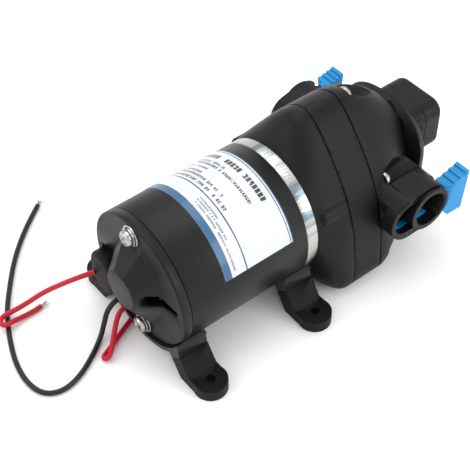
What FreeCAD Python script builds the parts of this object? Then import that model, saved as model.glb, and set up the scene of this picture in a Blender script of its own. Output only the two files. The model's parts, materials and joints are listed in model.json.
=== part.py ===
import FreeCAD, Part
import math
import os

# Twelve volt diaphragm water pump: a can motor, a three-chamber pump head, two clip ports,
# a pressure switch, rubber feet and three loose leads.
# The motor lies along X with its rear cover towards -X. The origin is the centre of the four
# foot holes, on the surface that the pump stands on. Sizes are in millimetres.

V = FreeCAD.Vector
X_AXIS = V(1, 0, 0)
Y_AXIS = V(0, 1, 0)
Z_AXIS = V(0, 0, 1)

# Mounting
FOOT_SPACING_Y = 95.0
FOOT_HOLE_R = 2.5
FOOT_PAD_R = 9.0
FOOT_PAD_T = 6.8
FOOT_WIDTH = 17.4
REAR_FOOT_SETBACK = 2.0
AXIS_HEIGHT = 44.0

# Motor can and label
CAN_R = 37.5
CAN_WALL = 1.6
CAN_LENGTH = 73.7
LABEL_T = 0.2
LABEL_GAP = 0.05
LABEL_START = 21.7
LABEL_LENGTH = 42.7
LABEL_EDGE_ANGLE = 17.5
BELL_RIM = 6.0
BELL_WEB_T = 3.0
BELL_HUB_R = 12.0
BELL_HUB_DEPTH = 10.0
SPIGOT_DEPTH = 3.0
SPIGOT_WALL = 3.0

# Rear cover
COVER_T = 5.0
COVER_EDGE_R = 1.2
COVER_TURN = -4.0
BOSS_DEPTH = 11.0
BOSS_BASE_R = 20.8
BOSS_END_R = 11.0
BOSS_WALL = 2.0
RIDGE_HALF_W = 7.5
RIDGE_FOOT_Z = 25.8
RIDGE_SPREAD = 64.0
RIDGE_END_HALF_W = 4.0
SLOT_H = 5.4
SLOT_INNER_Y = 13.0
NOTCH_Y = (14.0, 19.6)
NOTCH_Z = (-4.3, 2.2)
COVER_RECESS_T = 2.6
COVER_RIM_WALL = 4.5
BOLT_INSET = 7.0
BOLT_R = 2.0
BOLT_BITE = 5.3
WASHER_R = 6.0
WASHER_T = 1.0
SPRING_WASHER_R = 4.6
SPRING_WASHER_T = 1.1
SCREW_HEAD_R = 4.5
SCREW_HEAD_T = 3.0
PHILLIPS_W = 1.1
PHILLIPS_L = 5.0
PHILLIPS_DEPTH = 1.6

# Wire boot and grommet on the rear cover
BOOT_Y = (14.0, 33.4)
BOOT_Z = (-23.2, 2.0)
BOOT_DEPTH = 8.0
BOOT_CORNER_R = 9.4
GROMMET_LENGTH = 2.0
GROMMET_WALL = 1.4

# Rotor
SHAFT_R = 4.0
SHAFT_START = -13.5
SHAFT_PROUD = 14.3
ARMATURE_INSET = 10.2
ARMATURE_START = 26.0
ARMATURE_LENGTH = 34.0
SLOT_COUNT = 12
SLOT_WIDTH = 5.0
SLOT_DEPTH = 9.0
WINDING_T = 6.0
COMMUTATOR_R = 10.5
COMMUTATOR_START = 5.0
COMMUTATOR_LENGTH = 13.0
MAGNET_T = 7.5
MAGNET_ARC = 124.0
MAGNET_LENGTH = 42.0
BRUSH_X = 8.0
BRUSH_W = 6.0
BRUSH_H = 8.0
BRUSH_LENGTH = 10.0
BRUSH_BOX_WALL = 0.8
BRUSH_SPRING_LENGTH = 6.0
BRUSH_SPRING_R = 2.4

# Ball bearings
BEARING_R = 8.0
BEARING_W = 5.0
RACE_T = 1.1
BALL_COUNT = 7

# Drive housing
BELL_LENGTH = 17.3
FLANGE_T = 3.0
DRIVE_WALL = 6.0
DRIVE_FLOOR_T = 4.0
FLARE_POWER = 2.2
FLANK_BOSS_R = 5.2
FLANK_BOSS_LENGTH = 14.0
SEAM_GROOVE_W = 0.35
SEAM_GROOVE_SCALE = 0.982

# Half outline of the pump head, from the top round the left side to the bottom
HEAD_HALF = [(0.0, 54.2), (9.0, 50.6), (21.8, 36.9), (30.6, 25.0), (37.6, 12.5), (43.2, -6.0),
             (45.7, -28.0), (44.4, -39.5), (39.5, -43.0), (24.0, -43.2), (0.0, -43.2)]
FRONT_HALF = [(0.0, 33.9), (7.0, 32.9), (13.4, 29.3), (17.0, 24.0), (20.1, 16.3), (24.0, 2.0),
              (25.5, -12.0), (24.0, -23.0), (20.0, -28.5), (12.0, -31.5), (0.0, -32.0)]
PLATE_REAR_HALF = [(0.0, 34.4), (9.0, 33.2), (18.0, 29.6), (25.0, 23.0), (29.0, 13.0), (30.0, 1.0),
                   (30.0, -12.0), (28.0, -23.0), (22.0, -30.0), (12.0, -33.0), (0.0, -33.5)]
PLATE_FRONT_HALF = [(0.0, 26.4), (11.0, 26.2), (19.5, 24.6), (25.2, 18.6), (28.2, 9.5), (28.6, 0.0),
                    (28.4, -10.0), (26.0, -20.0), (20.0, -26.5), (11.0, -28.6), (0.0, -28.8)]

# Eccentric, wobble plate and diaphragm
CAM_TILT = 3.5
CAM_AHEAD = 5.3
CAM_FLANGE_T = 1.5
CAM_FLANGE_R = 8.2
CAM_JOURNAL_R = 6.5
CAM_LENGTH = 9.0
CAM_BEARING_R = 12.0
CAM_BEARING_W = 6.0
WOBBLE_HUB_R = 15.0
WOBBLE_ARM_W = 12.0
WOBBLE_ARM_T = 3.0
PISTON_CIRCLE_R = 20.5
PISTON_R = 7.5
PISTON_T = 2.2
PISTON_STEM_R = 3.6
DIAPHRAGM_T = 1.5
DIAPHRAGM_HOLE_R = 5.0
STROKE_GAP = 1.9

# Valve housing
VALVE_HOUSING_T = 18.75
CHAMBER_R = 10.5
CHAMBER_DEPTH = 8.6
VALVE_WEB_T = 3.0
INLET_HOLE_R = 1.6
VALVE_FLAP_R = 6.0
VALVE_FLAP_T = 1.0
OUTLET_FLAP_R = 8.5
SEAL_SECTION_R = 1.2
SEAL_R = 28.0

# Upper housing
SHOULDER_LENGTH = 1.5
DOME_LENGTH = 34.75
DOME_POWER = 1.6
MANIFOLD_R = 25.0
MANIFOLD_DEPTH = 23.0
OUTLET_CHAMBER_R = 9.5
OUTLET_WALL = 2.5
PASSAGE_R = 5.0
PASSAGE_WALL = 1.8
HEAD_SCREW_R = 2.0
HEAD_SCREW_HEAD_R = 4.8
HEAD_SCREW_HEAD_T = 3.2
POCKET_R = 6.2
FLANK_POCKET_R = 5.6
POCKET_START = 8.0
APEX_SCREW_Z = 48.0
LOW_SCREW_Z = -36.5
FLANK_SCREW = (33.3, 13.1)
CORNER_SCREW = (39.0, -33.5)
SCREW_BITE = 9.0

# Ports and slide clips
PORT_AHEAD = 22.75
PORT_REACH = 54.0
LEFT_PORT_AHEAD = 4.0
LEFT_PORT_SHORT = 1.7
PORT_BODY_STEP = 11.6
PORT_TUBE_WALL = 1.4
PORT_TUBE_PROUD = 2.0
PORT_MOUTH_R = 10.0
PORT_BORE_R = 9.0
PORT_BORE_DEPTH = 16.0
PASSAGE_BACK = 3.5
CLIP_SLOT_DEPTH = 7.8
CLIP_PLATE_T = 3.2
CLIP_PLATE_R = 12.0
CLIP_PLATE_STEP = 11.0
CLIP_GAP = 0.3
CLIP_TRAVEL = 7.5
CLIP_WIDE_R = 9.2
CLIP_BITE_Z = 8.5
PORT_CORE_STEP = 1.4
CLIP_TAB_DEPTH = 8.9
CLIP_TAB_PROUD = 0.2
CLIP_TAB_BOTTOM = -17.0
CLIP_TAB_START = 13.6
CLIP_SCOOP_R = 17.0
CLIP_SCOOP_T = 3.0
CLIP_RIB_COUNT = 3
CLIP_RIB_W = 1.5
CLIP_RIB_H = 0.8
PORT_SEAL_SECTION_R = 1.0
PORT_SEAL_GAP = 0.05
PORT_SEAL_DEPTH = 12.5

# Front cover and pressure switch
COVER_PLATE_T = 8.0
COVER_STEP = 3.6
COVER_SCREW_Y = 20.9
COVER_SCREW_Z = (4.0, -12.0)
COVER_SCREW_R = 1.5
COVER_SCREW_HEAD_R = 3.2
COVER_SCREW_HEAD_T = 2.0
COVER_SCREW_BITE = 6.0
SWITCH_HALF_W = 17.4
SWITCH_Z = (-9.0, 22.6)
SWITCH_SEAM_W = 0.45
SWITCH_CORNER_R = 8.0
SWITCH_BASE_LENGTH = 11.5
SWITCH_CAP_LENGTH = 12.8
SWITCH_CAP_EDGE_R = 3.0
SWITCH_WALL = 2.0
SWITCH_FLOOR_T = 3.0
SWITCH_BORE_R = 7.0
SWITCH_DIAPHRAGM_T = 1.2
PLUNGER_R = 3.0
PLUNGER_HEAD_R = 6.0
PLUNGER_HEAD_T = 2.0
PLUNGER_LENGTH = 9.5
PLUNGER_TRAVEL = 1.5
PLUNGER_GAP = 0.05
GUIDE_T = 2.5
SPRING_R = 4.6
SPRING_WIRE_R = 0.5
SPRING_TURNS = 4
MICRO_SWITCH = (6.0, 10.0, 12.0)
SWITCH_SCREW_YZ = (11.0, 10.0)

# Saddles under the motor
SADDLE_T = 2.4
SADDLE_GAP = 0.2
SADDLE_ARC = 116.0
SADDLE_WIDTH = 17.4
TONGUE_T = 2.4
NECK_OUTER = (6.6, 51.0)
NECK_INNER = (6.0, 38.8)
GUSSET_GAP = 0.3

# Leads: routes are points picked by hand, from the exit to the bare end
WIRE_R = 1.4
WIRE_CORE_R = 0.8
ON_FLOOR = 1.5
BLACK_ROUTE = [(-41.5, 14.6, 19.5), (-48.0, 14.7, 19.5), (-53.6, 14.9, 14.6), (-56.6, 14.2, 7.0),
               (-61.5, 11.2, 2.0), (-69.5, 5.6, 1.5), (-81.5, -1.6, 1.5), (-93.5, -4.6, 1.5),
               (-102.6, -0.6, 1.5), (-105.9, 10.0, 1.5), (-104.2, 25.0, 1.5), (-98.0, 41.6, 1.5),
               (-90.2, 57.4, 1.5), (-79.8, 71.8, 1.5), (-68.6, 86.0, 1.5), (-56.8, 97.8, 1.5),
               (-46.0, 107.0, 1.5), (-35.4, 114.8, 1.5)]
RED_ROUTE = [(-49.5, 30.0, 29.0), (-55.5, 32.2, 28.2), (-63.6, 38.6, 22.6), (-72.4, 46.4, 14.6),
             (-81.2, 51.4, 7.0), (-89.0, 53.2, 4.8), (-94.6, 53.6, 4.7), (-98.0, 50.5, 4.6),
             (-96.2, 47.2, 4.6), (-91.8, 47.6, 4.2), (-84.6, 48.9, 1.7), (-79.0, 48.8, 1.5),
             (-73.7, 49.3, 1.5)]
LOOP_ROUTE = [(-41.5, 10.8, 15.6), (-46.5, 11.0, 15.2), (-51.0, 9.6, 12.6), (-55.6, 5.9, 8.6),
              (-60.2, 1.6, 5.4), (-64.0, -1.9, 3.6), (-66.2, -2.5, 2.8), (-67.4, -0.7, 2.0),
              (-66.0, 1.0, 1.6), (-61.6, 2.8, 1.5), (-50.5, 8.0, 1.5), (-40.0, 12.6, 1.5),
              (-24.0, 18.2, 1.5), (-6.0, 21.6, 1.5), (18.0, 22.0, 1.6), (35.0, 20.6, 3.4),
              (44.6, 20.0, 5.4), (50.3, 20.0, 5.5)]
STRAND_LENGTH = 6.5
STRAND_COUNT = 4

# Places that follow from the sizes above, along the motor from the joint of can and rear cover
HEAD_START = CAN_LENGTH + BELL_RIM
FOOT_SPACING_X = HEAD_START - SADDLE_WIDTH / 2 - REAR_FOOT_SETBACK
FLANGE_X = HEAD_START + BELL_LENGTH
SEAM_1 = FLANGE_X + FLANGE_T
SEAM_2 = SEAM_1 + VALVE_HOUSING_T
SHOULDER_X = SEAM_2 + SHOULDER_LENGTH
FRONT_X = SHOULDER_X + DOME_LENGTH
PORT_X = SEAM_2 + PORT_AHEAD
SWITCH_X = FRONT_X + COVER_PLATE_T
CAP_X = SWITCH_X + SWITCH_BASE_LENGTH
CAP_END = CAP_X + SWITCH_CAP_LENGTH
CAN_REAR_X = -FOOT_SPACING_X / 2 - REAR_FOOT_SETBACK
CAN_INNER_R = CAN_R - CAN_WALL
SLOT_OUTER_Y = CAN_R - 5.0
COVER_RECESS_R = CAN_R - COVER_RIM_WALL
BOLT_CIRCLE_R = CAN_R - BOLT_INSET
BOLT_END_X = HEAD_START + BOLT_BITE
ARMATURE_R = CAN_R - ARMATURE_INSET
SHAFT_END = HEAD_START + SHAFT_PROUD
DRIVE_BORE_R = CAN_R - DRIVE_WALL
CAM_START = HEAD_START + CAM_AHEAD
CLIP_SLOT_Y = PORT_REACH - CLIP_SLOT_DEPTH
CLIP_TAB_Y = (PORT_REACH - CLIP_TAB_DEPTH, PORT_REACH + CLIP_TAB_PROUD)
PART_SHIFT = V(CAN_REAR_X, 0, AXIS_HEIGHT)
MATING_GAP = 0.1

# The two ports differ in size: "x" and "reach" place the barrel, "lobe" and "barrel" are the radii
# of its drawn-out body, "fork" is the clip plate's rear radius, "window" the recess over the lobe,
# "tab" is how far the clip's thumb tab reaches ahead, its top and its rise, and "prong" is how far
# back the clip plate goes
LEFT_PORT = {"side": 1, "x": PORT_X + LEFT_PORT_AHEAD, "reach": PORT_REACH - LEFT_PORT_SHORT,
             "lobe": 10.8, "barrel": 13.5, "fork": 9.5, "window": (12.0, 7.6), "tab": (25.8, 11.2, 2.7),
             "prong": 8.0}
RIGHT_PORT = {"side": -1, "x": PORT_X, "reach": PORT_REACH,
              "lobe": 14.2, "barrel": 14.2, "fork": 12.0, "window": (14.0, 9.2), "tab": (29.4, 9.0, 4.0),
              "prong": 30.0}

nodes = {}


# Small shape helpers, in the motor's frame: X along the shaft, the axis at y = 0 and z = 0

def rod_x(start, end, radius, y=0.0, z=0.0):
    return Part.makeCylinder(radius, end - start, V(start, y, z), X_AXIS)


def rod_y(start, end, radius, x, z):
    return Part.makeCylinder(radius, end - start, V(x, start, z), Y_AXIS)


def tube_x(start, end, outer, inner, y=0.0, z=0.0):
    return rod_x(start, end, outer, y, z).cut(rod_x(start - 1, end + 1, inner, y, z))


def block(x_span, y_span, z_span):
    size = [span[1] - span[0] for span in (x_span, y_span, z_span)]
    return Part.makeBox(size[0], size[1], size[2], V(x_span[0], y_span[0], z_span[0]))


def prism(points, direction):
    face = Part.Face(Part.makePolygon(points + [points[0]]))
    return face.extrude(direction)


def prism_x(outline, start, end):
    return prism([V(start, y, z) for y, z in outline], V(end - start, 0, 0))


def prism_y(outline, start, end):
    return prism([V(x, start, z) for x, z in outline], V(0, end - start, 0))


def mirrored(shape):
    return shape.mirror(V(0, 0, 0), Y_AXIS)


def turned(shape, degrees, centre=V(0, 0, 0), axis=X_AXIS):
    copy = shape.copy()
    copy.rotate(centre, axis, degrees)
    return copy


def around(radius, degrees):
    """Point in the YZ plane at an angle from the top, towards +Y."""
    return radius * math.sin(math.radians(degrees)), radius * math.cos(math.radians(degrees))


def pill_y(x_1, r_1, x_2, r_2, start, end, z=0.0):
    """Bar along Y whose section is the hull of two circles set apart along X."""
    reach = x_2 - x_1
    lean = math.asin((r_1 - r_2) / reach)
    corners = []
    for x, radius, side in ((x_1, r_1, 1), (x_2, r_2, 1), (x_2, r_2, -1), (x_1, r_1, -1)):
        corners.append((x + radius * math.sin(lean), z + side * radius * math.cos(lean)))
    bar = prism_y(corners, start, end)
    return bar.fuse([rod_y(start, end, r_1, x_1, z), rod_y(start, end, r_2, x_2, z)]).removeSplitter()


def rounded_bar_x(y_span, z_span, radius, start, end):
    """Bar along X with a rounded rectangular section."""
    bar = block((start, end), y_span, z_span)
    edges = [edge for edge in bar.Edges if abs(edge.BoundBox.XLength - (end - start)) < 1e-6
             and edge.BoundBox.YLength < 1e-6]
    return bar.makeFillet(radius, edges)


def phillips_cut(tip_x, y, z, turn):
    """Cross recess in a screw head whose top face is at tip_x and looks towards -X."""
    across = block((tip_x - 1, tip_x + PHILLIPS_DEPTH), (y - PHILLIPS_L / 2, y + PHILLIPS_L / 2),
                   (z - PHILLIPS_W / 2, z + PHILLIPS_W / 2))
    cross = across.fuse(turned(across, 90, V(tip_x, y, z)))
    return turned(cross, turn, V(tip_x, y, z))


def pan_screw(head_x, y, z, shank_r, head_r, head_t, shank_length, toward):
    """Pan-head screw along X: the head's seat is at head_x and toward is +1 or -1, its drive side."""
    head = rod_x(0, head_t, head_r)
    head = head.makeFillet(head_t * 0.45, [edge for edge in head.Edges
                                           if edge.BoundBox.XMin > head_t - 1e-6])
    shank = rod_x(-shank_length, 0, shank_r)
    screw = head.fuse(shank).removeSplitter()
    screw = screw.cut(turned(phillips_cut(0, 0, 0, 0), 180, V(0, 0, 0), Z_AXIS).translated(V(head_t, 0, 0)))
    if toward < 0:
        screw = turned(screw, 180, V(0, 0, 0), Z_AXIS)
    return screw.translated(V(head_x, y, z))


def group(shapes):
    return Part.makeCompound(shapes)


def keep(name, shape):
    nodes[name] = shape.translated(PART_SHIFT)


def keep_placed(name, shape):
    """Keep a shape that is already in the part's own frame."""
    nodes[name] = shape


# Outline of the pump head

def closed_curve(points):
    curve = Part.BSplineCurve()
    curve.interpolate(points, PeriodicFlag=True)
    return Part.Wire(curve.toShape())


def whole_outline(half):
    other_side = [(-y, z) for y, z in half[1:-1]]
    return half + other_side[::-1]


def head_section(x, blend=1.0, scale=1.0):
    """Outline between the motor's circle, at blend 0, and the full head, at blend 1."""
    points = []
    for y, z in whole_outline(HEAD_HALF):
        reach = math.hypot(y, z)
        grown = CAN_R / reach * (1 - blend) + blend
        points.append(V(x, y * grown * scale, z * grown * scale))
    return closed_curve(points)


def mixed_section(x, share, rear_half, front_half):
    """Outline between two half outlines: the rear one at share 0, the front one at share 1."""
    pairs = zip(whole_outline(rear_half), whole_outline(front_half))
    points = [V(x, a[0] + share * (b[0] - a[0]), a[1] + share * (b[1] - a[1])) for a, b in pairs]
    return closed_curve(points)


def head_slab(start, end, scale=1.0):
    return Part.Face(head_section(start, 1.0, scale)).extrude(V(end - start, 0, 0))


def grooved_slab(start, end, groove_start, groove_end):
    """Slab of the head's outline with a narrow step at a seam, so that the seam shows as a line."""
    slab = head_slab(start + SEAM_GROOVE_W * groove_start, end - SEAM_GROOVE_W * groove_end)
    return slab.fuse(head_slab(start, end, SEAM_GROOVE_SCALE)).removeSplitter()


def head_screw_places():
    places = [(0.0, APEX_SCREW_Z), FLANK_SCREW, (0.0, LOW_SCREW_Z), (-FLANK_SCREW[0], FLANK_SCREW[1])]
    places.append(CORNER_SCREW)
    places.append((-CORNER_SCREW[0], CORNER_SCREW[1]))
    return places


def piston_places():
    return [around(PISTON_CIRCLE_R, angle) for angle in (0, 120, 240)]


# Motor

def make_can():
    return tube_x(0, CAN_LENGTH, CAN_R, CAN_INNER_R)


def make_label():
    inner = CAN_R + LABEL_GAP
    band = tube_x(LABEL_START, LABEL_START + LABEL_LENGTH, inner + LABEL_T, inner)
    reach = 2 * CAN_R
    edge = math.radians(LABEL_EDGE_ANGLE)
    low = reach * math.sin(edge)
    wide = reach * math.cos(edge)
    wedge = prism_x([(0, 0), (-wide, low), (-wide, reach * 2), (wide, reach * 2), (wide, low)],
                    LABEL_START, LABEL_START + LABEL_LENGTH)
    return band.common(wedge)


def make_front_bell():
    rim = tube_x(CAN_LENGTH, HEAD_START, CAN_R, CAN_INNER_R - SPIGOT_WALL)
    web = rod_x(HEAD_START - BELL_WEB_T, HEAD_START, CAN_R)
    spigot = tube_x(CAN_LENGTH - SPIGOT_DEPTH, CAN_LENGTH, CAN_INNER_R - MATING_GAP,
                    CAN_INNER_R - SPIGOT_WALL)
    hub = rod_x(HEAD_START - BELL_HUB_DEPTH, HEAD_START, BELL_HUB_R)
    bell = rim.fuse([web, spigot, hub]).removeSplitter()
    bell = bell.cut(rod_x(HEAD_START - BELL_HUB_DEPTH - 1, front_bearing_x() + BEARING_W, BEARING_R + 0.02))
    bell = bell.cut(rod_x(0, HEAD_START + 1, SHAFT_R + 1.0))
    for y, z in bolt_places():
        bell = bell.cut(rod_x(0, HEAD_START + 1, BOLT_R + MATING_GAP, y, z))
    return bell


def front_bearing_x():
    return HEAD_START - BELL_HUB_DEPTH + 1.0


def rear_bearing_x():
    return -COVER_T - BOSS_DEPTH + BOSS_WALL


def bolt_places():
    top = around(BOLT_CIRCLE_R, -COVER_TURN)
    return [top, (-top[0], -top[1])]


def make_rear_cover():
    plate = rod_x(-COVER_T, 0, CAN_R)
    plate = plate.makeFillet(COVER_EDGE_R, [edge for edge in plate.Edges
                                            if edge.BoundBox.XMax < -COVER_T + 1e-6])
    spigot = tube_x(0, SPIGOT_DEPTH, CAN_INNER_R - MATING_GAP, CAN_INNER_R - SPIGOT_WALL)
    cover = plate.fuse([make_boss(0.0), spigot]).removeSplitter()
    cover = cover.cut(rod_x(-COVER_RECESS_T, 1, COVER_RECESS_R - 0.2))
    cover = cover.cut(rod_x(rear_bearing_x(), 1, BEARING_R + 0.02))
    for side in (-1, 1):
        near, far = sorted((side * SLOT_INNER_Y, side * SLOT_OUTER_Y))
        cover = cover.cut(block((-COVER_T - BOSS_DEPTH, 1), (near, far), (-SLOT_H / 2, SLOT_H / 2)))
    notch = block((-COVER_T - BOSS_DEPTH - 1, -COVER_T), NOTCH_Y, NOTCH_Z)
    cover = turned(cover.cut(notch).cut(turned(notch, 180)), COVER_TURN)
    for y, z in bolt_places():
        seat = rod_x(-COVER_T - BOSS_DEPTH, -COVER_T, WASHER_R + 0.6, y, z)
        cover = cover.cut(seat.fuse(rod_x(-COVER_T - 1, 1, BOLT_R + MATING_GAP, y, z)))
    for y, z in grommet_places():
        cover = cover.cut(rod_x(-COVER_T - 4, 1, WIRE_R + GROMMET_WALL + MATING_GAP, y, z))
    return cover


def make_boss(grow):
    """Bearing boss: a cone with a ridge above and below, drawn larger by grow to clear it."""
    cone = Part.makeCone(BOSS_BASE_R + grow, BOSS_END_R + grow, BOSS_DEPTH, V(-COVER_T, 0, 0), V(-1, 0, 0))
    side_y, side_z = around(BOSS_BASE_R + grow, RIDGE_SPREAD)
    tip_y, tip_z = around(BOSS_END_R + grow, RIDGE_SPREAD)
    top_z = math.sqrt((BOSS_END_R + grow) ** 2 - RIDGE_END_HALF_W ** 2)
    foot = [(RIDGE_HALF_W + grow, RIDGE_FOOT_Z + grow), (side_y, side_z)]
    tip = [(RIDGE_END_HALF_W, top_z), (tip_y, tip_z)]
    wires = []
    for x, corners in ((-COVER_T, foot), (-COVER_T - BOSS_DEPTH, tip)):
        right = corners + [(y, -z) for y, z in corners[::-1]]
        outline = right + [(-y, z) for y, z in right[::-1]]
        points = [V(x, y, z) for y, z in outline]
        wires.append(Part.makePolygon(points + [points[0]]))
    ridge = Part.makeLoft(wires, True, True)
    return cone.fuse(ridge).removeSplitter()


def grommet_places():
    """Where the black lead and the looped lead leave the rear cover, in the motor's frame."""
    return [(route[0][1], route[0][2] - AXIS_HEIGHT) for route in (BLACK_ROUTE, LOOP_ROUTE)]


def make_grommets():
    rings = []
    for y, z in grommet_places():
        ring = rod_x(-COVER_T, -COVER_T + GROMMET_LENGTH, WIRE_R + GROMMET_WALL, y, z)
        rings.append(ring)
    return group(rings)


def make_boot():
    start = -COVER_T - BOOT_DEPTH
    body = rounded_bar_x(BOOT_Y, BOOT_Z, BOOT_CORNER_R, start, -COVER_T)
    rim = [edge for edge in body.Edges if edge.BoundBox.XMax < start + 1e-6]
    body = body.makeFillet(2.5, rim)
    body = body.cut(turned(make_boss(0.3), COVER_TURN))
    for y, z in grommet_places():
        body = body.cut(rod_x(-COVER_T - BOSS_DEPTH, 1, WIRE_R + 1.0, y, z))
    return largest_solid(body)


def largest_solid(shape):
    return max(shape.Solids, key=lambda solid: solid.Volume)


def make_bolt_set():
    bolts, flats, springs = [], [], []
    for index, (y, z) in enumerate(bolt_places()):
        seat = -COVER_T
        flats.append(tube_x(seat - WASHER_T, seat, WASHER_R, BOLT_R + MATING_GAP, y, z))
        seat -= WASHER_T
        ring = tube_x(seat - SPRING_WASHER_T, seat, SPRING_WASHER_R + 0.6, BOLT_R + MATING_GAP, y, z)
        split = block((seat - 3, seat + 1), (y - 0.4, y + 0.4), (z, z + WASHER_R))
        springs.append(ring.cut(turned(split, 75 + 140 * index, V(seat, y, z))))
        seat -= SPRING_WASHER_T
        head = pan_screw(seat, y, z, BOLT_R, SCREW_HEAD_R, SCREW_HEAD_T, BOLT_END_X - seat, -1)
        bolts.append(turned(head, 25 + 40 * index, V(seat, y, z)))
    return bolts, flats, springs


def make_magnets():
    length_start = ARMATURE_START + ARMATURE_LENGTH / 2 - MAGNET_LENGTH / 2
    outer = CAN_INNER_R - 0.15
    shell = tube_x(length_start, length_start + MAGNET_LENGTH, outer, outer - MAGNET_T)
    reach = 2 * CAN_R
    half = math.radians(MAGNET_ARC / 2)
    wedge = prism_x([(0, 0), (reach * math.cos(half), -reach * math.sin(half)), (2 * reach, 0),
                     (reach * math.cos(half), reach * math.sin(half))],
                    length_start, length_start + MAGNET_LENGTH)
    magnet = shell.common(wedge)
    return [turned(magnet, COVER_TURN), turned(mirrored(magnet), COVER_TURN)]


def slot_ring(start, end, width, floor, top):
    """Twelve radial bars, as cutters for the core's slots or as the copper in them."""
    bars = []
    for index in range(SLOT_COUNT):
        bar = block((start, end), (-width / 2, width / 2), (floor, top))
        bars.append(turned(bar, 360.0 / SLOT_COUNT * index))
    return bars


def make_rotor():
    start, end = ARMATURE_START, ARMATURE_START + ARMATURE_LENGTH
    floor = ARMATURE_R - 1.5 - SLOT_DEPTH
    core = tube_x(start, end, ARMATURE_R, SHAFT_R + 0.02)
    core = core.cut(group(slot_ring(start - 1, end + 1, SLOT_WIDTH, floor, ARMATURE_R - 1.5)))
    copper = slot_ring(start - 1, end + 1, SLOT_WIDTH - 0.6, floor + 0.3, ARMATURE_R - 1.8)
    ends = []
    for ring_start in (start - WINDING_T - 0.3, end + 0.3):
        ring = tube_x(ring_start, ring_start + WINDING_T, ARMATURE_R - 1.5, floor)
        edges = [edge for edge in ring.Edges if edge.BoundBox.XLength < 1e-6]
        ends.append(ring.makeFillet(2.0, edges))
    winding = ends[0].fuse(ends[1:] + copper).removeSplitter()
    commutator = tube_x(COMMUTATOR_START, COMMUTATOR_START + COMMUTATOR_LENGTH, COMMUTATOR_R,
                        SHAFT_R + 0.02)
    grooves = slot_ring(COMMUTATOR_START - 1, COMMUTATOR_START + COMMUTATOR_LENGTH + 1, 0.6,
                        COMMUTATOR_R - 1.2, COMMUTATOR_R + 1)
    commutator = commutator.cut(group(grooves))
    shaft = rod_x(SHAFT_START, SHAFT_END, SHAFT_R)
    shaft = shaft.makeChamfer(0.5, [edge for edge in shaft.Edges if edge.BoundBox.XLength < 1e-6])
    return core, winding, commutator, shaft


def make_bearing(start, width, bore_r, outer_r):
    """Outer ring, inner ring and balls of one ball bearing along X."""
    pitch = (bore_r + outer_r) / 2
    ball_r = (outer_r - bore_r) / 2 - RACE_T + 0.35
    middle = start + width / 2
    torus = Part.makeTorus(pitch, ball_r + 0.06, V(middle, 0, 0), X_AXIS)
    outer = tube_x(start, start + width, outer_r, outer_r - RACE_T).cut(torus)
    inner = tube_x(start, start + width, bore_r + RACE_T, bore_r + 0.02).cut(torus)
    balls = []
    for index in range(BALL_COUNT):
        y, z = around(pitch, 360.0 / BALL_COUNT * index)
        balls.append(Part.makeSphere(ball_r, V(middle, y, z)))
    return outer, inner, balls


def make_brushes():
    boxes, brushes, springs = [], [], []
    z_half, x_half = BRUSH_H / 2, BRUSH_W / 2
    centre = BRUSH_X + x_half
    brush_start = COMMUTATOR_R + 0.2
    spring_start = brush_start + BRUSH_LENGTH + 0.2
    box_end = spring_start + BRUSH_SPRING_LENGTH + 0.2
    wall = BRUSH_BOX_WALL
    outer = block((-COVER_RECESS_T, centre + x_half + wall + 0.1), (brush_start + 2, box_end + wall),
                  (-z_half - wall - 0.1, z_half + wall + 0.1))
    inner = block((centre - x_half - 0.1, centre + x_half + 0.1), (brush_start + 1, box_end),
                  (-z_half - 0.1, z_half + 0.1))
    box = outer.cut(inner)
    brush = block((centre - x_half, centre + x_half), (brush_start, brush_start + BRUSH_LENGTH),
                  (-z_half, z_half))
    spring = rod_y(spring_start, spring_start + BRUSH_SPRING_LENGTH, BRUSH_SPRING_R, centre, 0)
    spring = spring.cut(rod_y(0, CAN_R, BRUSH_SPRING_R - 0.8, centre, 0))
    for half_turn in (0, 180):
        for shapes, shape in ((boxes, box), (brushes, brush), (springs, spring)):
            shapes.append(turned(shape, COVER_TURN + half_turn))
    return boxes, brushes, springs


# Feet

def foot_centres():
    return [REAR_FOOT_SETBACK, REAR_FOOT_SETBACK + FOOT_SPACING_X]


def make_saddle(x_centre):
    inner = CAN_R + SADDLE_GAP
    outer = inner + SADDLE_T
    start, end = x_centre - SADDLE_WIDTH / 2, x_centre + SADDLE_WIDTH / 2
    band = tube_x(start, end, outer, inner)
    half = math.radians(SADDLE_ARC / 2)
    reach = 2 * outer
    wedge = prism_x([(0, 0), (-reach * math.sin(half), -reach * math.cos(half)), (0, -2 * reach),
                     (reach * math.sin(half), -reach * math.cos(half))], start, end)
    band = band.common(wedge)
    parts = [band]
    outer_y, outer_z = neck_corner(NECK_OUTER, -GUSSET_GAP)
    inner_y, inner_z = neck_corner(NECK_INNER, -GUSSET_GAP)
    root_y, root_z = around(inner, 180 - SADDLE_ARC / 2)
    back_y, back_z = around(inner + SADDLE_T / 2, 180 - NECK_INNER[1])
    gusset = [(root_y, root_z), (outer_y, outer_z), (inner_y, inner_z), (back_y, back_z)]
    for side in (-1, 1):
        parts.append(prism_x([(side * y, z) for y, z in tongue_outline()],
                             x_centre - FOOT_WIDTH / 2 + 3, x_centre + FOOT_WIDTH / 2 - 3))
        parts.append(prism_x([(side * y, z) for y, z in gusset], start, end))
    return band.fuse(parts[1:]).removeSplitter().cut(rod_x(start - 1, end + 1, inner))


def neck_corner(place, grow=0.0):
    """Corner of a foot's neck: its distance beyond the can, and its angle from straight down."""
    rise, angle = place
    return around(CAN_R + rise + grow, 180 - angle)


def neck_line():
    """Middle line of a foot's sloping neck, from the saddle to the pad, on the +Y side."""
    pad_inner = FOOT_SPACING_Y / 2 - FOOT_PAD_R + 2.5
    slope_start = around(CAN_R + SADDLE_T / 2, 140)
    slope_end = (pad_inner, -AXIS_HEIGHT + FOOT_PAD_T / 2 + 1.0)
    return slope_start, slope_end


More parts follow.
